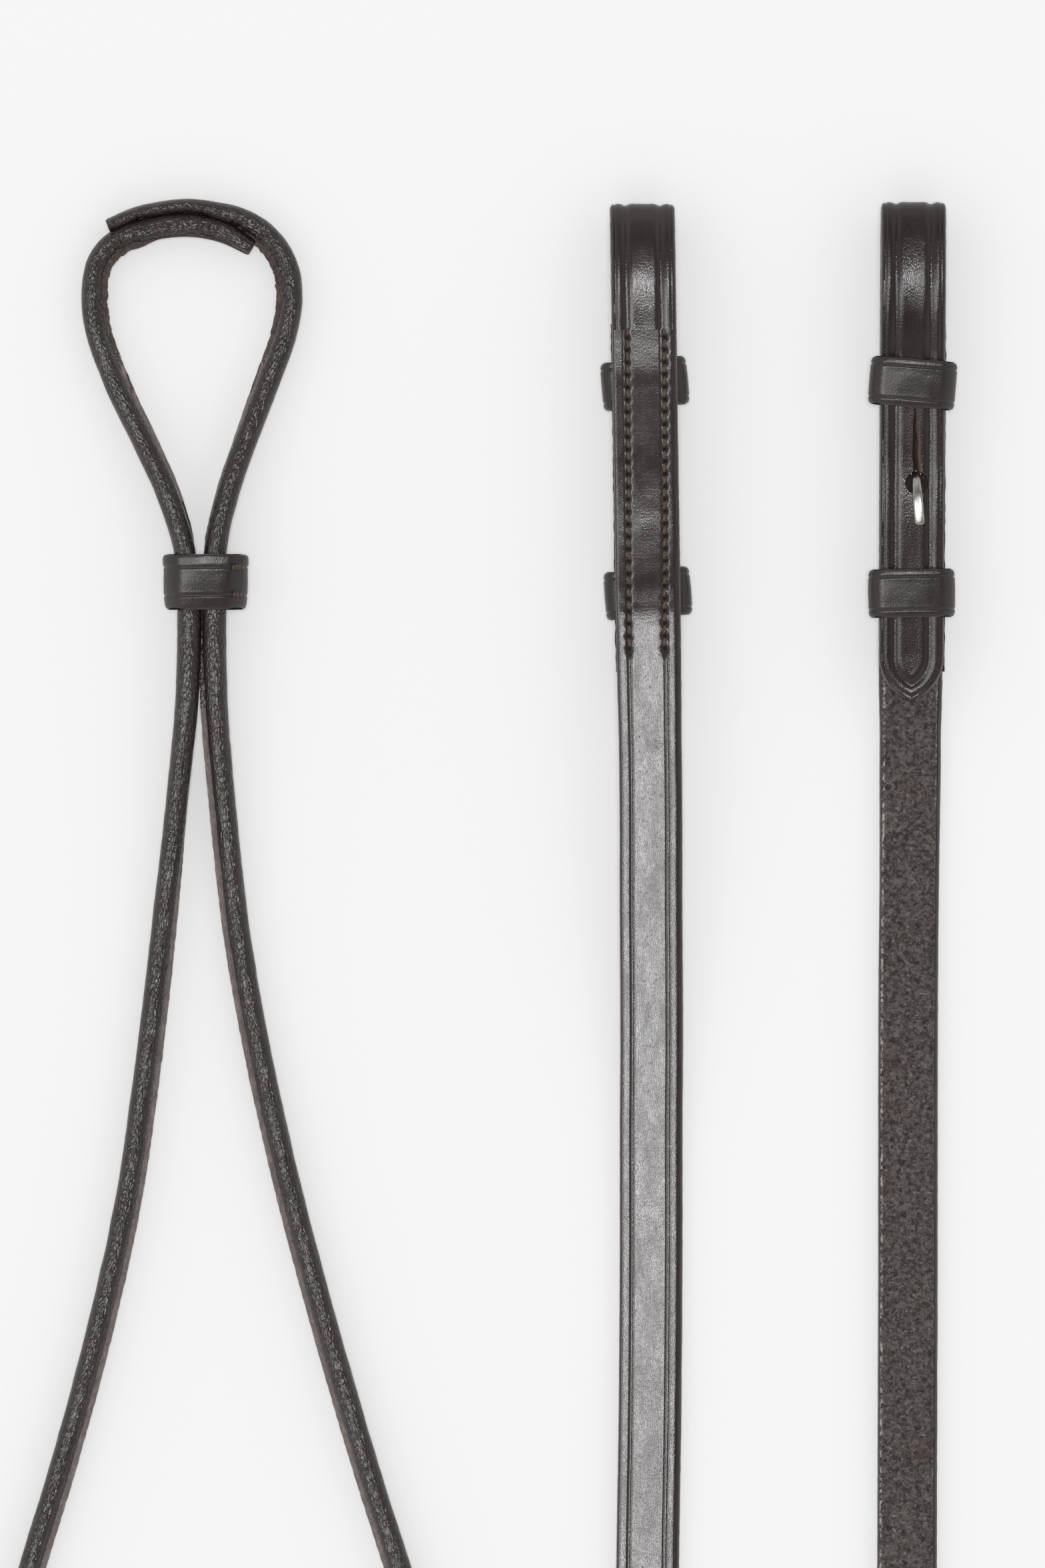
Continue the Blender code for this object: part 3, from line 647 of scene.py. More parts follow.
# ---------------------------------------------------------------- flat straps and billets
HINGE_Y = 175.0
BACKING_MIDDLE, TAB_MIDDLE = 5.4, 7.9  # heights of their middles above the billet's grain face
FRAMES = {  # a billet's hinge: x, lean in degrees, world height of the grain face, and its sign
    "near": (51.0, 0.85, 11.8, -1),
    "off": (118.0, -0.28, 0.0, 1),
}


def place(rein, x, y, height):
    """From across +X, along the billet and height above its grain face, to the row frame."""
    middle, lean, floor, sign = FRAMES[rein]
    c, s = cos_sin(lean)
    return (middle + x * c - y * s, HINGE_Y + x * s + y * c, floor + sign * height)


# Along (y), height (z), half width and half thickness where the roll flattens into the strap.
TAPER = [
    (-171, 3.05, 3.1, 3.05), (-165, 2.95, 3.5, 2.85), (-160, 2.7, 4.2, 2.6), (-153, 2.2, 5.8, 2.15),
    (-145, 1.75, 7.3, 1.7),
]
# From the roll to the hinge: x, y, z, half width, half thickness.
NEAR_FLAT = [(50.2, *p) for p in TAPER] + [(50.2, -138, 1.55, 8.0, 1.5)] + [
    (*p, 8.1, 1.5) for p in (
        (50.25, -80, 1.5), (50.3, -30, 1.5), (50.9, 10, 1.5), (51.2, 55, 1.5), (51.2, 70, 1.6),
        (51.2, 85, 2.1), (51.3, 100, 3.1), (51.3, 115, 4.5), (51.2, 130, 6.2), (51.1, 145, 7.9),
        (51.1, 160, 9.2), (51.0, 174.85, 10.0),
    )
]
OFF_FLAT = [(117.2, *p) for p in TAPER] + [
    (117.2, -138, 1.55, 7.8, 1.5), (117.2, -80, 1.5, 7.7, 1.5), (117.2, -30, 1.5, 7.7, 1.5),
    (117.4, 40, 1.5, 7.7, 1.5), (117.5, 115, 1.5, 7.7, 1.5), (117.8, 150, 1.5, 7.7, 1.5),
    (118.0, 174.85, 1.5, 7.9, 1.5),
]
# Round the fold, in the billet's frame: along, height, half thickness.
OUTWARDS = [(y, 1.5, 1.5) for y in (20, 45, 70, 95)]
BACK = [(y, TAB_MIDDLE, 1.4) for y in (95, 70, 45, 29.7, 18.3)]
NEAR_FOLD = [
    (10, 1.6, 1.5), *OUTWARDS, (108, 1.45, 1.5), (114, 1.15, 1.5), (120, 0.5, 1.5),
    (126.5, 0.1, 1.5), (132.5, 0.5, 1.5), (138, 1.55, 1.5), (142.5, 3.4, 1.5), (144.9, 5.9, 1.45),
    (143.7, 8.3, 1.4), (139.5, 9.8, 1.4), (134, 10.3, 1.4), (127, 9.4, 1.4), (121.5, 8.2, 1.4),
    (118, TAB_MIDDLE, 1.4), *BACK,
]
OFF_FOLD = [
    (10, 1.5, 1.5), *OUTWARDS, (114, 1.5, 1.5), (135, 1.5, 1.5), (139.5, 1.8, 1.5),
    (143.3, 3.6, 1.5), (145.3, 6.6, 1.45), (144.0, 8.9, 1.4), (140.2, 10.6, 1.4),
    (134.0, 11.7, 1.4), (126.5, 12.1, 1.4), (119.5, 11.3, 1.4), (113.5, 9.7, 1.4),
    (108.5, 8.3, 1.4), (104, TAB_MIDDLE, 1.4), *BACK,
]
SPLIT_Y = 114.0  # where the strap's mesh hands over to the fold's and tab's mesh
TIP_Y, POINT_LENGTH = 18.3, 11.4
BILLET_HALF = 8.35
STITCH_ROWS = {  # across at the middle of the row, and how it leans
    "near": ((-4.6, 0.0098), (4.65, 0.0135)),
    "off": ((4.6, -0.0098), (-4.65, -0.0135)),
}
ROW_MIDDLE = 73.0
STITCH_FIRST, STITCH_PITCH, STITCH_COUNT = 31.9, 3.2, 26
STITCH_ENDS = STITCH_FIRST + STITCH_PITCH * np.arange(STITCH_COUNT + 1)
STITCH_GAP, STITCH_SLANT, THREAD_RADIUS = 0.30, 0.42, 0.52
STITCHED_FROM, STITCHED_TO = 30, 117  # the groove they lie in
HOOK_SIDE = {"near": -0.8, "off": 0.8}
POINT_RADIUS = (POINT_LENGTH**2 + BILLET_HALF**2) / (2 * BILLET_HALF)
FLESH_COLUMNS = 29
CLOSE_COLUMNS = (-0.8, -0.5, -0.3, -0.15, 0.0, 0.15, 0.3, 0.5, 0.8)
CLOSEST = 0.12  # columns nearer to each other than this are left out


def tab_half_width(y, inset=0.0):
    """Parallel sides, then a point whose two sides are arcs; or a line at an inset from them."""
    back = np.maximum(POINT_LENGTH - (y - TIP_Y), 0)
    reach = np.sqrt(np.maximum((POINT_RADIUS - inset) ** 2 - back**2, 0))
    return reach - (POINT_RADIUS - BILLET_HALF)


def columns_of(half, edges, crowd):
    """Across and up positions round a strap's section, for half thickness 1. The grain face
    comes first, from +X to -X. edges are the roundings at -X and +X; crowd lists the places
    across the grain face that need close columns."""
    left, right = edges
    turn = np.linspace(0, math.pi / 2, 7)[:-1]
    flat = set(np.linspace(half - right, left - half, 23).round(3))
    for centre in crowd:
        flat |= {round(centre + d, 3) for d in CLOSE_COLUMNS}
    flat = [f for f in sorted(flat, reverse=True) if left - half <= f <= half - right]
    kept = [flat[0]]
    for f in flat[1:]:
        if kept[-1] - f >= CLOSEST:
            kept.append(f)
    flat = np.array(kept)
    at_right, at_left = half - right + right * np.cos(turn), left - half - left * np.cos(turn)
    flesh = np.linspace(left - half, half - right, FLESH_COLUMNS)
    x = np.concatenate([at_right, flat, at_left[::-1], at_left[1:], flesh, at_right[::-1][:-1]])
    z = np.concatenate([
        np.sin(turn), 0 * flat + 1, np.sin(turn)[::-1],
        -np.sin(turn[1:]), 0 * flesh - 1, -np.sin(turn)[::-1][:-1],
    ])
    return x, z


def strap_slots(x, z, half, edges):
    """The material's number, 0 grain, 1 edge or 2 flesh, between each column and the next."""
    across, up = (x + np.roll(x, -1)) / 2, (z + np.roll(z, -1)) / 2
    rounding = np.where(across > 0, edges[1], edges[0])
    on_edge = np.abs(across) > half - 0.62 * rounding
    return np.where(on_edge, 1, np.where(up > 0, 0, 2)).tolist()


def strap_stations(rein, flat, fold):
    """The whole leather strip's middle line: x, y, z, half width, half thickness, billet y."""
    points = [(*p, p[1] - HINGE_Y) for p in flat]
    flat_half = flat[-1][3]
    for y, height, thick in fold:
        width = flat_half + (BILLET_HALF - flat_half) * float(ease(y, 12, 27))
        points.append((*place(rein, 0.0, y, height), width, thick, y))
    return smooth_curve(points)


def crease_dip(off, depth, width):
    """A pressed line and the low lips beside it, at a distance `off` from its middle."""
    lips = np.exp(-((np.abs(off) - 2.2 * width) / (0.9 * width)) ** 2)
    return 0.2 * depth * lips - depth * np.exp(-((off / width) ** 2))


def stitch_bed(rein, x, billet_y):
    """The groove and holes of the two sewn lines, in mm."""
    relief = np.zeros((len(billet_y), len(x)))
    for row, lean in STITCH_ROWS[rein]:
        off = x - (row + lean * (billet_y - ROW_MIDDLE))[:, None]
        for end in STITCH_ENDS:
            relief -= 0.75 * np.exp(-(off**2 + (billet_y[:, None] - end) ** 2) / 0.62**2)
        span = ease(billet_y, STITCHED_FROM, STITCHED_FROM + 2)
        span = span * ease(billet_y, STITCHED_TO, STITCHED_TO - 2)
        relief -= 0.18 * np.exp(-((off / 0.7) ** 2)) * span[:, None]
    return relief


def tab_across(x, widths, billet_y):
    """The tab's columns, bent so that its pressed lines keep their distance from the edge."""
    marks = [0.0] + [BILLET_HALF - inset for inset, _, _ in TAB_CREASES] + [BILLET_HALF]
    across = np.zeros((len(widths), len(x)))
    for k, (width, y) in enumerate(zip(widths, billet_y)):
        places = [0.0]
        for share, (inset, _, _) in zip((0.15, 0.45), TAB_CREASES):
            line = tab_half_width(y, inset) if width < BILLET_HALF - 0.001 else width - inset
            places.append(max(float(line), share * width))
        across[k] = np.sign(x) * np.interp(np.abs(x), marks, places + [width])
    return across


def strip(name, rein, stations, lengths, settings, materials, pointed=False):
    """One length of the leather strip, as a closed mesh. settings are its half width, the edges'
    roundings, its creases, +1 or -1 for which way its grain faces, and how much it is domed."""
    half, edges, creases, face, crown = settings
    run = at_lengths(stations, lengths)
    centres, widths, thick, billet_y = run[:, :3], run[:, 3], run[:, 4], run[:, 5]
    tangents = unit(np.gradient(centres, lengths, axis=0))
    side, up = strap_frames(tangents, face)
    crowd = [c[0] for c in creases]
    if not pointed:
        crowd += [row + d for row, _ in STITCH_ROWS[rein] for d in (-0.45, 0.0, 0.45)]
    x, z = columns_of(half, edges, crowd)
    along = np.repeat(lengths[:, None], len(x), axis=1)
    spot = np.stack([x + 0 * along, along, 4 * z + 0 * along], -1)
    wavy = 0.07 * ruffle(spot, 15.0, face * 3.0) + 0.03 * ruffle(spot, 4.0, face * 11.0)
    wavy += 0.012 * ruffle(spot, 1.1, face * 23.0)
    nibble = 0.07 * ruffle(spot * (0.05, 1, 1), 2.0, 5.0) + 0.05 * ruffle(spot * (0.05, 1, 1), 0.8)
    grain, flesh, edge_share = z > 0.9, z < -0.9, 1 - z**2
    flats = ease(thick, 1.9, 1.6)[:, None]
    if pointed:
        across = tab_across(x, widths, billet_y)
        back = np.maximum(POINT_LENGTH - (billet_y - TIP_Y), 0)[:, None]
        middle = POINT_RADIUS - BILLET_HALF
        inwards = POINT_RADIUS - np.hypot(np.abs(across) + middle, back)
        relief = sum(crease_dip(inwards - inset, deep, wide) for inset, deep, wide in TAB_CREASES)
        shade = 0 * relief
    else:
        across = x * (widths[:, None] / half)
        relief = sum(crease_dip(x - middle, deep, wide) for middle, deep, wide in creases)
        bed = stitch_bed(rein, x, billet_y)
        # Painted shade: 1 where the stitch holes sink deepest, for the grain's colour to be painted
        # nearly black.
        shade = np.where(grain, np.clip(-bed / 0.55 - 0.25, 0, 1), 0)
        relief = relief * flats + bed
    lift = crown * (1 - (x / half) ** 2) * flats
    rise = z * thick[:, None] + wavy * np.abs(z) * flats
    rise = rise + np.where(grain, relief + lift, 0) - np.where(flesh, 0.4 * lift, 0)
    sections = np.stack([across + np.sign(x) * nibble * edge_share, rise], -1)
    rings = placed(sections, centres, side, up)
    lay = straightened(sections, lay_along(stations, lengths, pointed))
    slots = strap_slots(x, z, half, edges)
    return tube(name, rings, lay, slots, materials, cap_slots=(1, 1), sharp=50, shade=shade)


def lay_along(stations, lengths, pointed):
    """Distances along the leather that agree with the billet's own along, where it is flat."""
    run = run_lengths(stations)
    if pointed:
        return TIP_Y + run[-1] - lengths
    outwards = len(run) * 2 // 3  # the stations before the fold turns back
    return lengths - np.interp(0.0, stations[:outwards, 5], run[:outwards])


def clean_cut(mesh):
    """Takes slivers and faces that lie twice on the same corners out of a cut bmesh."""
    bmesh.ops.triangulate(mesh, faces=[face for face in mesh.faces if len(face.verts) > 4])
    bmesh.ops.remove_doubles(mesh, verts=mesh.verts, dist=0.002 * MM)
    by_corners = {}
    for face in mesh.faces:
        by_corners.setdefault(frozenset(face.verts), []).append(face)
    folded = [face for faces in by_corners.values() if len(faces) > 1 for face in faces]
    bmesh.ops.delete(mesh, geom=folded, context="FACES")


def boolean_cut(target, cutters):
    """Takes closed cutters out of the target's mesh for good."""
    for cutter in cutters:
        modifier = target.modifiers.new(cutter.name, "BOOLEAN")
        modifier.operation, modifier.solver, modifier.object = "DIFFERENCE", "EXACT", cutter
    graph = bpy.context.evaluated_depsgraph_get()
    graph.update()
    result = bpy.data.meshes.new_from_object(target.evaluated_get(graph))
    edit_mesh(result, clean_cut)
    target.modifiers.clear()
    target.data = result
    for cutter in cutters:
        bpy.data.objects.remove(cutter, do_unlink=True)


def prism(name, outline, low, high, material, low_outline=None):
    """A closed upright prism on an outline of (x, y) pairs, or between two outlines, in mm."""
    count = len(outline)
    vertices = [(x, y, low) for x, y in (low_outline or outline)]
    vertices += [(x, y, high) for x, y in outline]
    faces = tube_faces(2, count)
    return mesh_object(name, vertices, faces, [0] * len(faces), [material])


STRAP_EDGES = {"near": (0.6, 1.8), "off": (1.0, 2.3)}  # roundings at -X and +X
STRAP_CREASES = [(-5.35, 0.14, 0.16), (-4.5, 0.06, 0.14), (3.95, 0.13, 0.16), (4.85, 0.07, 0.14)]
STRAP_HALF, STRAP_CROWN = 8.1, 0.12
STRAP_STEP, STITCHED_STEP, TAB_STEP, FOLD_STEP, POINT_STEP = 1.5, 0.45, 1.2, 0.8, 0.4
FLEX = (-18, 20)  # a stretch along from the hinge; rein_strip works out points at its two ends and uses them no further
FOLD_CROWN_Y, FOLD_HEIGHTS = 140, (3.2, 6.4)  # a place along the fold and two heights; rein_strip works out points from them and uses them no further
FOLD_LENGTH = 40.0  # along the leather, from the split to the tab's own width
TAB_EDGES, TAB_CROWN = (0.95, 1.1), 0.15
TAB_CREASES = [(3.9, 0.44, 0.82), (1.2, 0.16, 0.28)]  # in from the edge, depth, width
HOLE_Y, HOLE_RADIUS, SLIT_TOP_Y = 74.5, 3.05, 93.7
HOLE_SIDE, SLIT_TOP_SIDE = 0.45, -0.6  # beyond the stud, where the slit starts and ends
SLIT_HALVES = (0.34, 1.08)  # under the tab and at its grain face
HOLE_CUT, SLIT_CUT = 4.0, 1.9  # how far the cutters reach up and down from the tab's middle
CUT_SIDE, CUT_DEEP = 4.2, 1.6  # the hole's and slit's walls lie within this of their middle


def straighten_again(made, stations, lengths, face):
    """Writes where each vertex of a cut mesh lies in the straightened leather."""
    centres = at_lengths(stations, lengths)[:, :3]
    tangents = unit(np.gradient(centres, lengths, axis=0))
    side, up = strap_frames(tangents, face)
    points = np.array([v.co for v in made.data.vertices]) / MM
    nearest = np.array([np.argmin(((centres - p) ** 2).sum(axis=1)) for p in points])
    off = points - centres[nearest]
    along = lay_along(stations, lengths, True)[nearest] - (off * tangents[nearest]).sum(1)
    across, height = ((off * axis[nearest]).sum(1) for axis in (side, up))
    set_lay(made.data, np.stack([across, along, height], -1))


def ellipse(rein, across, along, radii, count):
    """Outline in the row frame, round a point of the billet."""
    return [
        place(rein, across + radii[0] * math.cos(a), along + radii[1] * math.sin(a), 0)[:2]
        for a in np.linspace(0, 2 * math.pi, count + 1)[:-1]
    ]


def slit_outline(rein, across, half):
    """Both sides of the tab's slit, which wanders a little and narrows upwards."""
    ys = np.linspace(HOLE_Y, SLIT_TOP_Y, 14)
    lean = FRAMES[rein][3] * SLIT_TOP_SIDE
    wander = 0.10 * np.sin(ys * 0.9) + lean * (ys - HOLE_Y) / (SLIT_TOP_Y - HOLE_Y)
    gap = half * np.minimum(1, 0.30 + (SLIT_TOP_Y - ys) / 14)
    left, right = (
        [place(rein, across + w + g * way, y, 0)[:2] for y, w, g in zip(ys, wander, gap)]
        for way in (1, -1)
    )
    return left + right[::-1]


def cut_tab(rein, tab):
    """Cuts the hook's hole and slit, and colours the walls that the cut left: raw-cut colour facing
    -X, painted shade (the dark edge material) facing +X.
    """
    middle, _, floor, sign = FRAMES[rein]
    across, level = HOOK_SIDE[rein] + sign * HOLE_SIDE, floor + sign * TAB_MIDDLE
    hole = ellipse(rein, across, HOLE_Y, (HOLE_RADIUS, HOLE_RADIUS), 32)
    bottom, top = (slit_outline(rein, across, half) for half in SLIT_HALVES[::sign])
    boolean_cut(tab, [
        prism("hole_cutter", hole, level - HOLE_CUT, level + HOLE_CUT, RAW),
        prism("slit_cutter", top, level - SLIT_CUT, level + SLIT_CUT, RAW, bottom),
    ])
    raw, edge = list(tab.data.materials).index(RAW), 1
    # Painted shade: walls facing away from the left light take the dark edge material, the others the
    # paler raw-cut colour.
    for polygon in tab.data.polygons:
        x, y, z = polygon.center / MM
        near_cut = abs(x - middle - across) < CUT_SIDE and HOLE_Y - 4 < y - HINGE_Y < SLIT_TOP_Y + 1
        if near_cut and abs(polygon.normal.z) < 0.75 and abs(z - level) < CUT_DEEP:
            polygon.material_index = raw if polygon.normal.x < 0 else edge


def rein_strip(rein, flat, fold, grain, tab_grain):
    """The flat strap with its half of the fold, and the other half with the tab."""
    middle, _, floor, sign = FRAMES[rein]
    face = -sign
    stations = strap_stations(rein, flat, fold)
    run = run_lengths(stations)
    total = run[-1]
    past_hinge = CURVE_STEPS * len(flat) + 1
    split_index = past_hinge + int(np.argmax(stations[past_hinge:, 5] >= SPLIT_Y))
    split = run[split_index]
    stitched = run[int(np.argmin(np.abs(stations[:split_index, 5] - STITCHED_FROM)))]
    settings = (STRAP_HALF, STRAP_EDGES[rein], STRAP_CREASES, face, STRAP_CROWN)
    lengths = spread_lengths(0, split, [(stitched, split, STITCHED_STEP)], STRAP_STEP)
    strap = strip(f"{rein}_rein_strap", rein, stations, lengths, settings, [grain, EDGE, FLESH])
    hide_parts(f"{rein}_flat_strap", f"{rein}_billet_strap")
    x, z = middle * MM, (floor + sign * 1.5) * MM
    start, end = ((x, (HINGE_Y + along) * MM, z) for along in FLEX)
    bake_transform(strap)
    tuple(start)
    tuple(end)

    tail = stations.copy()
    on_tab = run > split + FOLD_LENGTH
    tail[on_tab, 3] = np.maximum(tab_half_width(tail[on_tab, 5]), 0.35)
    fine = [(split, split + 45, FOLD_STEP), (total - 14, total, POINT_STEP)]
    lengths = spread_lengths(split, total, fine, TAB_STEP)
    lines = [(way * (BILLET_HALF - inset), *cut) for inset, *cut in TAB_CREASES for way in (-1, 1)]
    settings = (BILLET_HALF, TAB_EDGES, lines, face, TAB_CROWN)
    materials = [tab_grain, EDGE, FLESH, RAW]
    tab = strip(f"{rein}_rein_tab", rein, tail, lengths, settings, materials, pointed=True)
    cut_tab(rein, tab)
    straighten_again(tab, tail, lengths, face)
    tab.data.set_sharp_from_angle(angle=math.radians(50))
    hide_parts(f"{rein}_billet_tab")
    y = (HINGE_Y + FOLD_CROWN_Y) * MM
    start, end = ((x, y, (floor + sign * height) * MM) for height in FOLD_HEIGHTS)
    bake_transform(tab)
    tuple(start)
    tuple(end)


rein_strip("near", NEAR_FLAT, NEAR_FOLD, STRAP_GRAIN, LOOP_GRAIN)
rein_strip("off", OFF_FLAT, OFF_FOLD, LOOP_GRAIN, TAB_GRAIN)


# ---------------------------------------------------------------- pieces of the billets
POST_Y, POST_SIDE, POST_RADII = 76.9, 0.2, (1.3, 0.82)  # the stud's post, and its hole
BACKING_HALF, BACKING_HALF_THICK = 8.2, 0.8
BACKING_PROUD = {"near": (0.0, 0.35), "off": (0.40, 0.0)}  # more half width at +X and at -X
BACKING_YS = np.arange(26.0, 116.01, 0.8)


def lining(rein):
    """The backing: a thin strip whose trimmed edges stay a little ragged."""
    edges = [
        BACKING_HALF + proud + 0.22 * ruffle_along(BACKING_YS, 2.2, seed)
        for proud, seed in zip(BACKING_PROUD[rein], (1.7, 8.7))
    ]
    thick = BACKING_HALF_THICK
    turned_face = [(1, -0.55), (1, 0.0), (1, 0.55), (0.97, thick)]
    turned_face += [(x, thick) for x in np.linspace(0.85, -0.85, 15)] + [(-0.97, thick)]
    profile = turned_face + [(-x, -z) for x, z in turned_face]
    rings, lay = [], []
    for y, right, left in zip(BACKING_YS, *edges):
        row = [(x * (right if x > 0 else left), y, BACKING_MIDDLE + z) for x, z in profile]
        rings.append([place(rein, *point) for point in row])
        lay.append([(x, y, z * 3) for x, y, z in row])
    rings, lay = np.array(rings), np.array(lay)
    rings[..., 2] += 0.05 * ruffle(lay, 1.1, 4.0)
    made = tube(f"{rein}_backing", rings, lay, [0] * len(profile), [LINING_LEATHER])
    sign = FRAMES[rein][3]
    hole = ellipse(rein, HOOK_SIDE[rein] + sign * POST_SIDE, POST_Y, POST_RADII, 20)
    level = FRAMES[rein][2] + sign * BACKING_MIDDLE
    boolean_cut(made, [prism("post_cutter", hole, level - 2, level + 2, LINING_LEATHER)])
    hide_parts(f"{rein}_billet_lining")
    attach(made, f"{rein}_billet")


def beads_of_thread(name, beads, rows, columns, spot):
    """Closed beads. spot gives a vertex and its lay from the bead's number, a share of its
    length and an angle round it."""
    corners = [
        spot(bead, row / (rows - 1), 2 * math.pi * column / columns)
        for bead in range(beads) for row in range(rows) for column in range(columns)
    ]
    vertices, lay = zip(*corners)
    faces = [f for bead in range(beads) for f in tube_faces(rows, columns, bead * rows * columns)]
    return mesh_object(name, vertices, faces, [0] * len(faces), [THREAD], lay, 60)


def stitch_row(rein, side, row, lean):
    """Saddle stitches, each sunk into its holes at both ends and a little aslant."""
    def spot(bead, t, angle):
        start, end = STITCH_ENDS[bead] + STITCH_GAP, STITCH_ENDS[bead + 1] - STITCH_GAP
        y = start + (end - start) * t
        jitter = 0.06 * noise.noise(Vector((bead * 1.7, row, 0.0)))
        x = row + lean * (y - ROW_MIDDLE) + jitter
        x += STITCH_SLANT * (t - 0.5) * math.copysign(1, row)
        height = 0.30 * (1 - (2 * t - 1) ** 2) - 0.9 * (1 - math.sin(math.pi * t)) ** 2
        radius = THREAD_RADIUS * (1 - 0.30 * abs(2 * t - 1) ** 4)
        ply = 1 + 0.13 * math.cos(2 * angle + 9 * t + bead)
        across, rise = radius * ply * math.cos(angle), 0.75 * radius * ply * math.sin(angle)
        return place(rein, x + across, y, -(height - 0.22 + rise)), (across, y, rise)

    made = beads_of_thread(f"{rein}_stitches_{side}", STITCH_COUNT, 11, 10, spot)
    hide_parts(f"{rein}_thread_{side}")
    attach(made, f"{rein}_billet")


HOOK_PROFILE = [  # along, height
    (POST_Y, 4.4), (76.8, 6.2), (76.2, 7.9), (74.8, 9.3), (72.4, 10.4), (69.4, 10.8),
    (66.4, 10.6), (63.5, 10.0),
]


def hook(rein):
    """The stud's hook: flat wire that stands up through the slit and bends over."""
    sign = FRAMES[rein][3]
    points = []
    for y, height in HOOK_PROFILE:
        drift = POST_SIDE + ((POST_Y - y) / (POST_Y - HOOK_PROFILE[-1][0])) ** 1.2
        points.append((HOOK_SIDE[rein] + sign * drift, y, height))
    dense = smooth_curve(points, 8)
    run = run_lengths(dense)
    lengths = np.linspace(0, run[-1], 46)
    centres = at_lengths(dense, lengths)
    side, up = strap_frames(tangents_of(centres), 1)
    from_end = run[-1] - lengths
    taper = np.sqrt(np.clip(1 - (1 - np.minimum(from_end / 1.1, 1)) ** 2, 0.02, 1))
    halves = np.stack([(1.15 + 0.22 * ease(lengths, 4, 13)) * taper, 0.72 * np.sqrt(taper)], -1)
    angles = np.linspace(0, 2 * math.pi, 21)[:-1]
    circle = np.stack([np.cos(angles), np.sin(angles)], -1)
    sections = halves[:, None] * (np.sign(circle) * np.abs(circle) ** 0.58)
    c, s = cos_sin(sign * 11)
    rings = placed(sections, centres, side * c - up * s, up * c + side * s)
    rings = np.array([[place(rein, *point) for point in ring] for ring in rings])
    lay = straightened(sections, lengths)
    made = tube(f"{rein}_hook", rings, lay, [0] * len(angles), [NICKEL], sharp=70)
    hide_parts(f"{rein}_hook_stud")
    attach(made, f"{rein}_billet")


def rounded_path(half_width, half_height, radius, spacing=0.55):
    """Points and outward normals round a rounded rectangle, evenly apart."""
    points, normals = [], []
    corner_steps = max(6, int(radius * math.pi / 2 / spacing))
    for quarter in range(4):
        x = (half_width - radius) * (1 if quarter in (0, 3) else -1)
        z = (half_height - radius) * (1 if quarter in (0, 1) else -1)
        for step in range(corner_steps + 1):
            angle = math.pi / 2 * (quarter + step / corner_steps)
            normals.append((math.cos(angle), math.sin(angle)))
            points.append((x + radius * normals[-1][0], z + radius * normals[-1][1]))
        ahead = math.pi / 2 * (quarter + 1)
        c, s = math.cos(ahead), math.sin(ahead)
        straight = 2 * ((half_height if quarter % 2 else half_width) - radius)
        step_count = int(straight / spacing)
        for step in range(1, step_count):
            along = straight * step / step_count
            points.append((x + radius * c - along * s, z + radius * s + along * c))
            normals.append((c, s))
    return np.array(points), np.array(normals)


def band_section(length, creases):
    """Across a keeper's wall: (along, in from the outer face as 0 to 1)."""
    half = length / 2
    ys = set(np.linspace(-half + 0.55, half - 0.55, 17).round(3))
    for y, _, width in creases:
        ys |= {round(y + d * width, 3) for d in (-2.2, -1.2, -0.6, 0, 0.6, 1.2, 2.2)}
    outer = [(y, 0.0) for y in sorted(ys)]
    rim_high = [(half - 0.25, 0.06), (half - 0.04, 0.25), (half, 0.5), (half - 0.06, 0.8)]
    inner = [(y, 1.0) for y in np.linspace(half - 0.4, -half + 0.4, 9)]
    rim_low = [(-y, share) for y, share in reversed(rim_high)]
    return np.array(outer + rim_high + inner + rim_low)


def band(name, size, walls, radius, creases, to_row, seed, crown=0.25, flare=0.0, arch=1.1):
    """A leather band round a rounded rectangle. size is (half width, length, half height), walls
    the thickness at the sides and top and at the floor, and creases (along, depth, width)."""
    half_width, length, half_height = size
    path, normals = rounded_path(half_width, half_height, radius)
    section = band_section(length, creases)
    along, depth = section[:, 0], section[:, 1]
    dent = np.zeros(len(along))
    for y, deep, width in creases:
        dent += deep * np.exp(-((along - y) / width) ** 2)
        dent -= 0.3 * deep * np.exp(-((np.abs(along - y) - 2.2 * width) / width) ** 2)
    vertices, lay = [], []
    for around, (x, z), (nx, nz) in zip(run_lengths(path), path, normals):
        floor_share = float(ease(-nz, 0.3, 0.9))
        wall = walls[0] + (walls[1] - walls[0]) * floor_share
        spots = np.stack([0 * along + x, along, 0 * along + z], -1)
        wavy = 0.07 * ruffle(spots, 4.5, seed) + 0.02 * ruffle(spots, 1.3, seed + 4)
        bulge = crown * (1 - (2 * along / length) ** 2) * (1 - floor_share)
        corner = abs(nx) * (np.maximum(np.abs(along) / length - 0.40, 0) / 0.10) ** 2
        flared = flare * abs(nx) * ease(along, 0.15 * length, 0.5 * length)
        skin = bulge - dent - 0.5 * crown + wavy - 0.45 * corner + flared
        skin = skin - arch * max(nz, 0.0) * (x / half_width) ** 2
        offset = np.where(depth < 0.5, skin, 0.0) - depth * wall
        for a, o in zip(along, offset):
            stray = 0.1 * noise.noise(Vector((x / 3, z / 3, a + seed)))
            vertices.append(to_row(x + nx * o, a + stray * abs(2 * a / length) ** 3, z + nz * o))
            lay.append((around, a, o))
    faces = grid_faces(len(path), len(section), closed_rows=True)
    after = np.roll(depth, -1)
    is_edge = (np.minimum(depth, after) > 0.05) & (np.maximum(depth, after) < 0.95)
    slots = is_edge.astype(int).tolist() * len(path)
    return mesh_object(name, vertices, faces, slots, [KEEPER_GRAIN, EDGE], lay, 50)


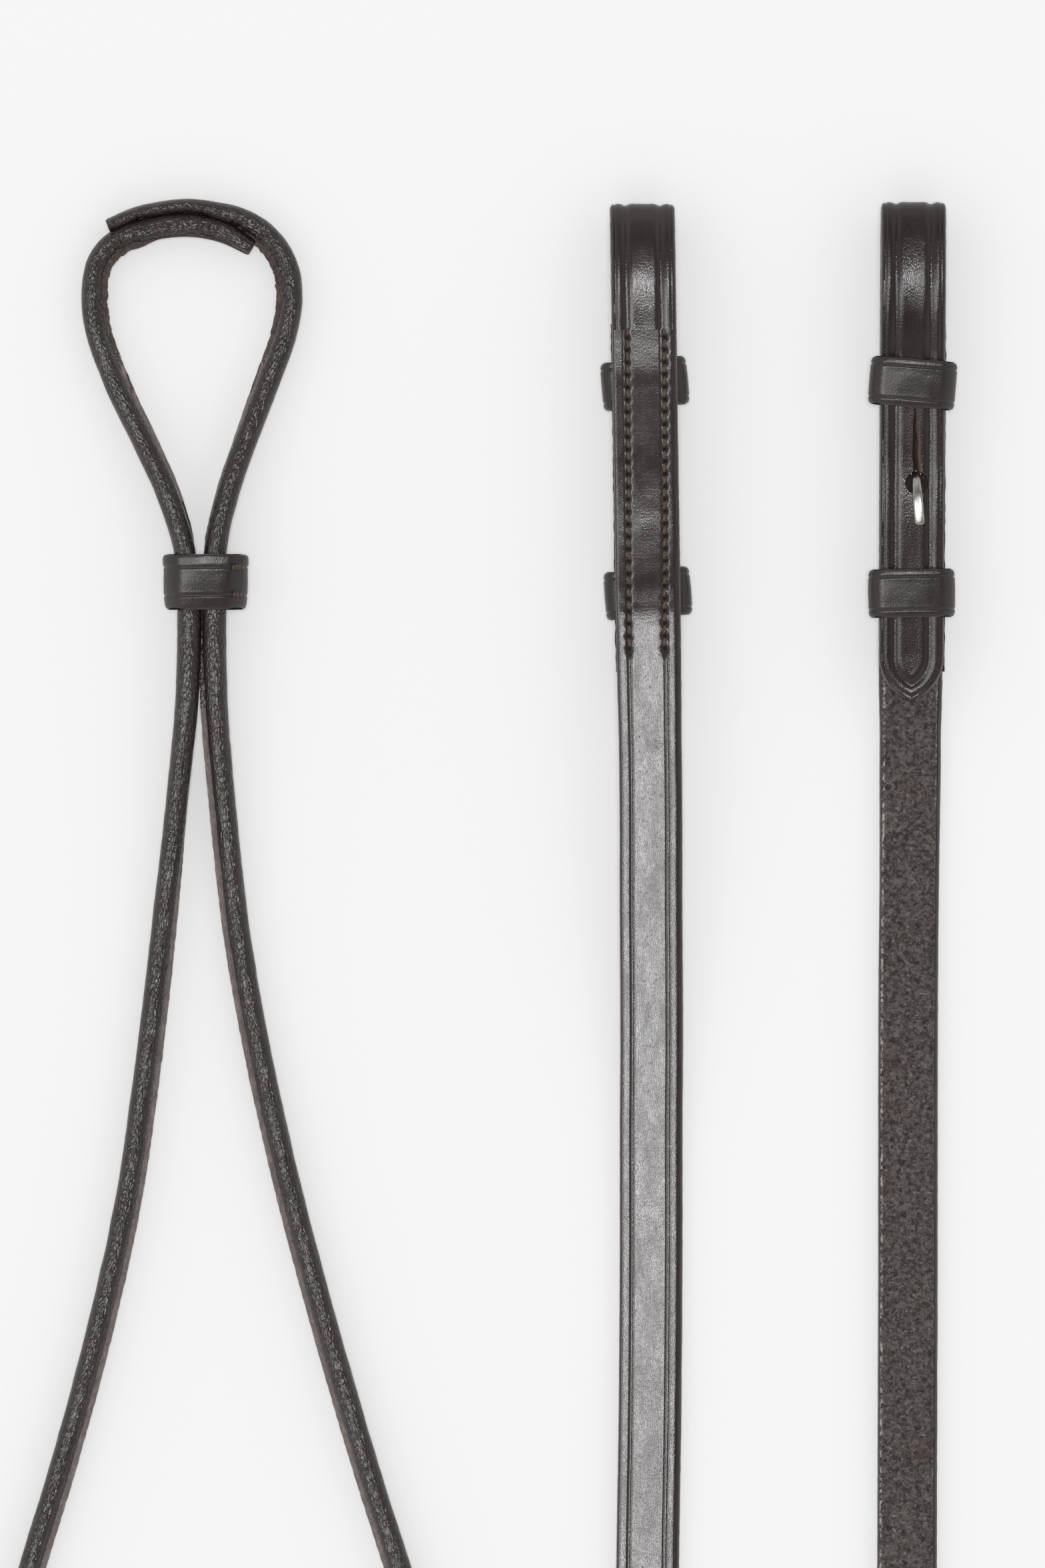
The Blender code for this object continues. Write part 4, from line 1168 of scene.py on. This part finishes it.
KEEPER_LOW, KEEPER_HIGH = 3.3, 11.8  # its outer faces, above the billet's grain face
KEEPER_HALF_WIDTH, KEEPER_LENGTH = 11.1, 12.4
KEEPER_WALLS, KEEPER_RADIUS = (1.9, 0.95), 3.85
KEEPER_CREASES = [(-4.2, 0.17, 0.26), (4.2, 0.17, 0.26)]
KEEPERS = {  # which, along at its middle, and how it is turned (degrees)
    "near": (("upper", 100.2, 4.4), ("lower", 46.1, 3.5)),
    "off": (("upper", 100.2, -4.5), ("lower", 46.1, 1.0)),
}


def billet_keeper(rein, which, y, turn):
    """A fixed keeper: its floor is caught under the lining and its wall goes round the tab."""
    middle, half_height = (KEEPER_LOW + KEEPER_HIGH) / 2, (KEEPER_HIGH - KEEPER_LOW) / 2
    c, s = cos_sin(turn)

    def to_row(x, along, z):
        return place(rein, x * c - along * s, y + x * s + along * c, middle + z)

    made = band(
        f"{rein}_{which}_band", (KEEPER_HALF_WIDTH, KEEPER_LENGTH, half_height), KEEPER_WALLS,
        KEEPER_RADIUS, KEEPER_CREASES, to_row, seed=y + 3 * FRAMES[rein][3],
    )
    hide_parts(f"{rein}_{which}_keeper")
    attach(made, f"{rein}_billet")


for rein in ("near", "off"):
    lining(rein)
    hook(rein)
    for side, (row, lean) in zip(("left", "right"), STITCH_ROWS[rein]):
        stitch_row(rein, side, row, lean)
    for which, y, turn in KEEPERS[rein]:
        billet_keeper(rein, which, y, turn)
    for node, material in (("stud_plate", NICKEL), ("rolled_core", COTTON)):
        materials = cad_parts[f"{rein}_{node}"].data.materials
        materials.clear()
        materials.append(material)


# ---------------------------------------------------------------- the hand end's keeper
HAND_MIDDLE = (-63.65, 224.05, 5.7)
HAND_SIZE, HAND_WALLS, HAND_RADIUS = (10.6, 14.3, 5.6), (2.0, 2.1), 5.2
HAND_CREASES = [(-3.55, 0.20, 0.28), (3.75, 0.20, 0.28)]
HAND_STITCHES = (("upper", 3.75, 4, 0.0), ("lower", -3.2, 3, 0.5))  # along, beads, inset


def hand_place(x, along, z):
    return (HAND_MIDDLE[0] + x, HAND_MIDDLE[1] + along, HAND_MIDDLE[2] + z)


def hand_keeper():
    made = band(
        "hand_keeper_band", HAND_SIZE, HAND_WALLS, HAND_RADIUS, HAND_CREASES, hand_place,
        seed=20.0, crown=0.5, flare=0.7, arch=1.6,
    )
    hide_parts("hand_keeper")
    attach(made, "hand_keeper")


def hand_stitches(which, y, beads, inset):
    """Short stitches that close the keeper, side by side from its right edge inwards."""
    def spot(bead, t, angle):
        x = 9.7 - 0.80 * (beads - 1 - bead) - inset
        lift = 5.55 - 0.11 * max(0.0, x - 7.2) ** 2
        arch = math.sin(math.pi * min(max(t, 0.04), 0.96))
        radius = 0.40 * arch**0.4
        a, b = radius * math.cos(angle), 0.8 * radius * math.sin(angle)
        rise = lift - 0.35 * (1 - arch) ** 2 + b
        return hand_place(x + a + 0.2 * (t - 0.5), y + 1.3 * (t - 0.5), rise), (a, 1.3 * t + x, b)

    made = beads_of_thread(f"hand_keeper_stitch_{which}", beads, 9, 8, spot)
    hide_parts(f"hand_keeper_thread_{which}")
    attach(made, "hand_keeper")


hand_keeper()
for which, y, beads, inset in HAND_STITCHES:
    hand_stitches(which, y, beads, inset)


# ---------------------------------------------------------------- floor and light
FLOOR_HALF, FLOOR_LEVEL = 15.0, -0.00005  # metres
DOME = (0.50, 0.88, 0.74, 0.17)  # sine of the height it fades over; its strength low and high
SUNS = (  # name, degrees down to the left and to the front, degrees across, strength, shadows
    ("overhead_light", 0, 0, 15, 1.0, True), ("left_light", 27, 11, 26, 0.96, False),
)


def paper_floor():
    corners = ((-1, -1), (1, -1), (1, 1), (-1, 1))
    data = bpy.data.meshes.new("floor")
    data.from_pydata(
        [(x * FLOOR_HALF, y * FLOOR_HALF, FLOOR_LEVEL) for x, y in corners], [], [(0, 1, 2, 3)]
    )
    paper = Look("paper", Base_Color=(0.9, 0.9, 0.9, 1), Roughness=0.95, Specular_IOR_Level=0.0)
    data.materials.append(paper.material)
    link_object("floor", data)


def studio_light():
    world = bpy.data.worlds.new("studio")
    world.use_nodes = True
    nodes, links = world.node_tree.nodes, world.node_tree.links
    split = nodes.new("ShaderNodeSeparateXYZ")
    dome = nodes.new("ShaderNodeMapRange")
    dome.interpolation_type = "SMOOTHSTEP"
    for socket, value in zip(("From Min", "From Max", "To Min", "To Max"), DOME):
        dome.inputs[socket].default_value = value
    links.new(nodes.new("ShaderNodeTexCoord").outputs["Generated"], split.inputs[0])
    links.new(split.outputs["Z"], dome.inputs["Value"])
    links.new(dome.outputs["Result"], nodes["Background"].inputs["Strength"])
    nodes["Background"].inputs["Color"].default_value = (1, 1, 1, 1)
    bpy.context.scene.world = world

    for name, left, front, spread, energy, shadow in SUNS:
        lamp = bpy.data.lights.new(name, "SUN")
        lamp.angle, lamp.energy, lamp.use_shadow = math.radians(spread), energy, shadow
        made = link_object(name, lamp)
        made.location = (0, 0, 1)
        made.rotation_euler = (math.radians(front), math.radians(-left), 0)


paper_floor()
studio_light()
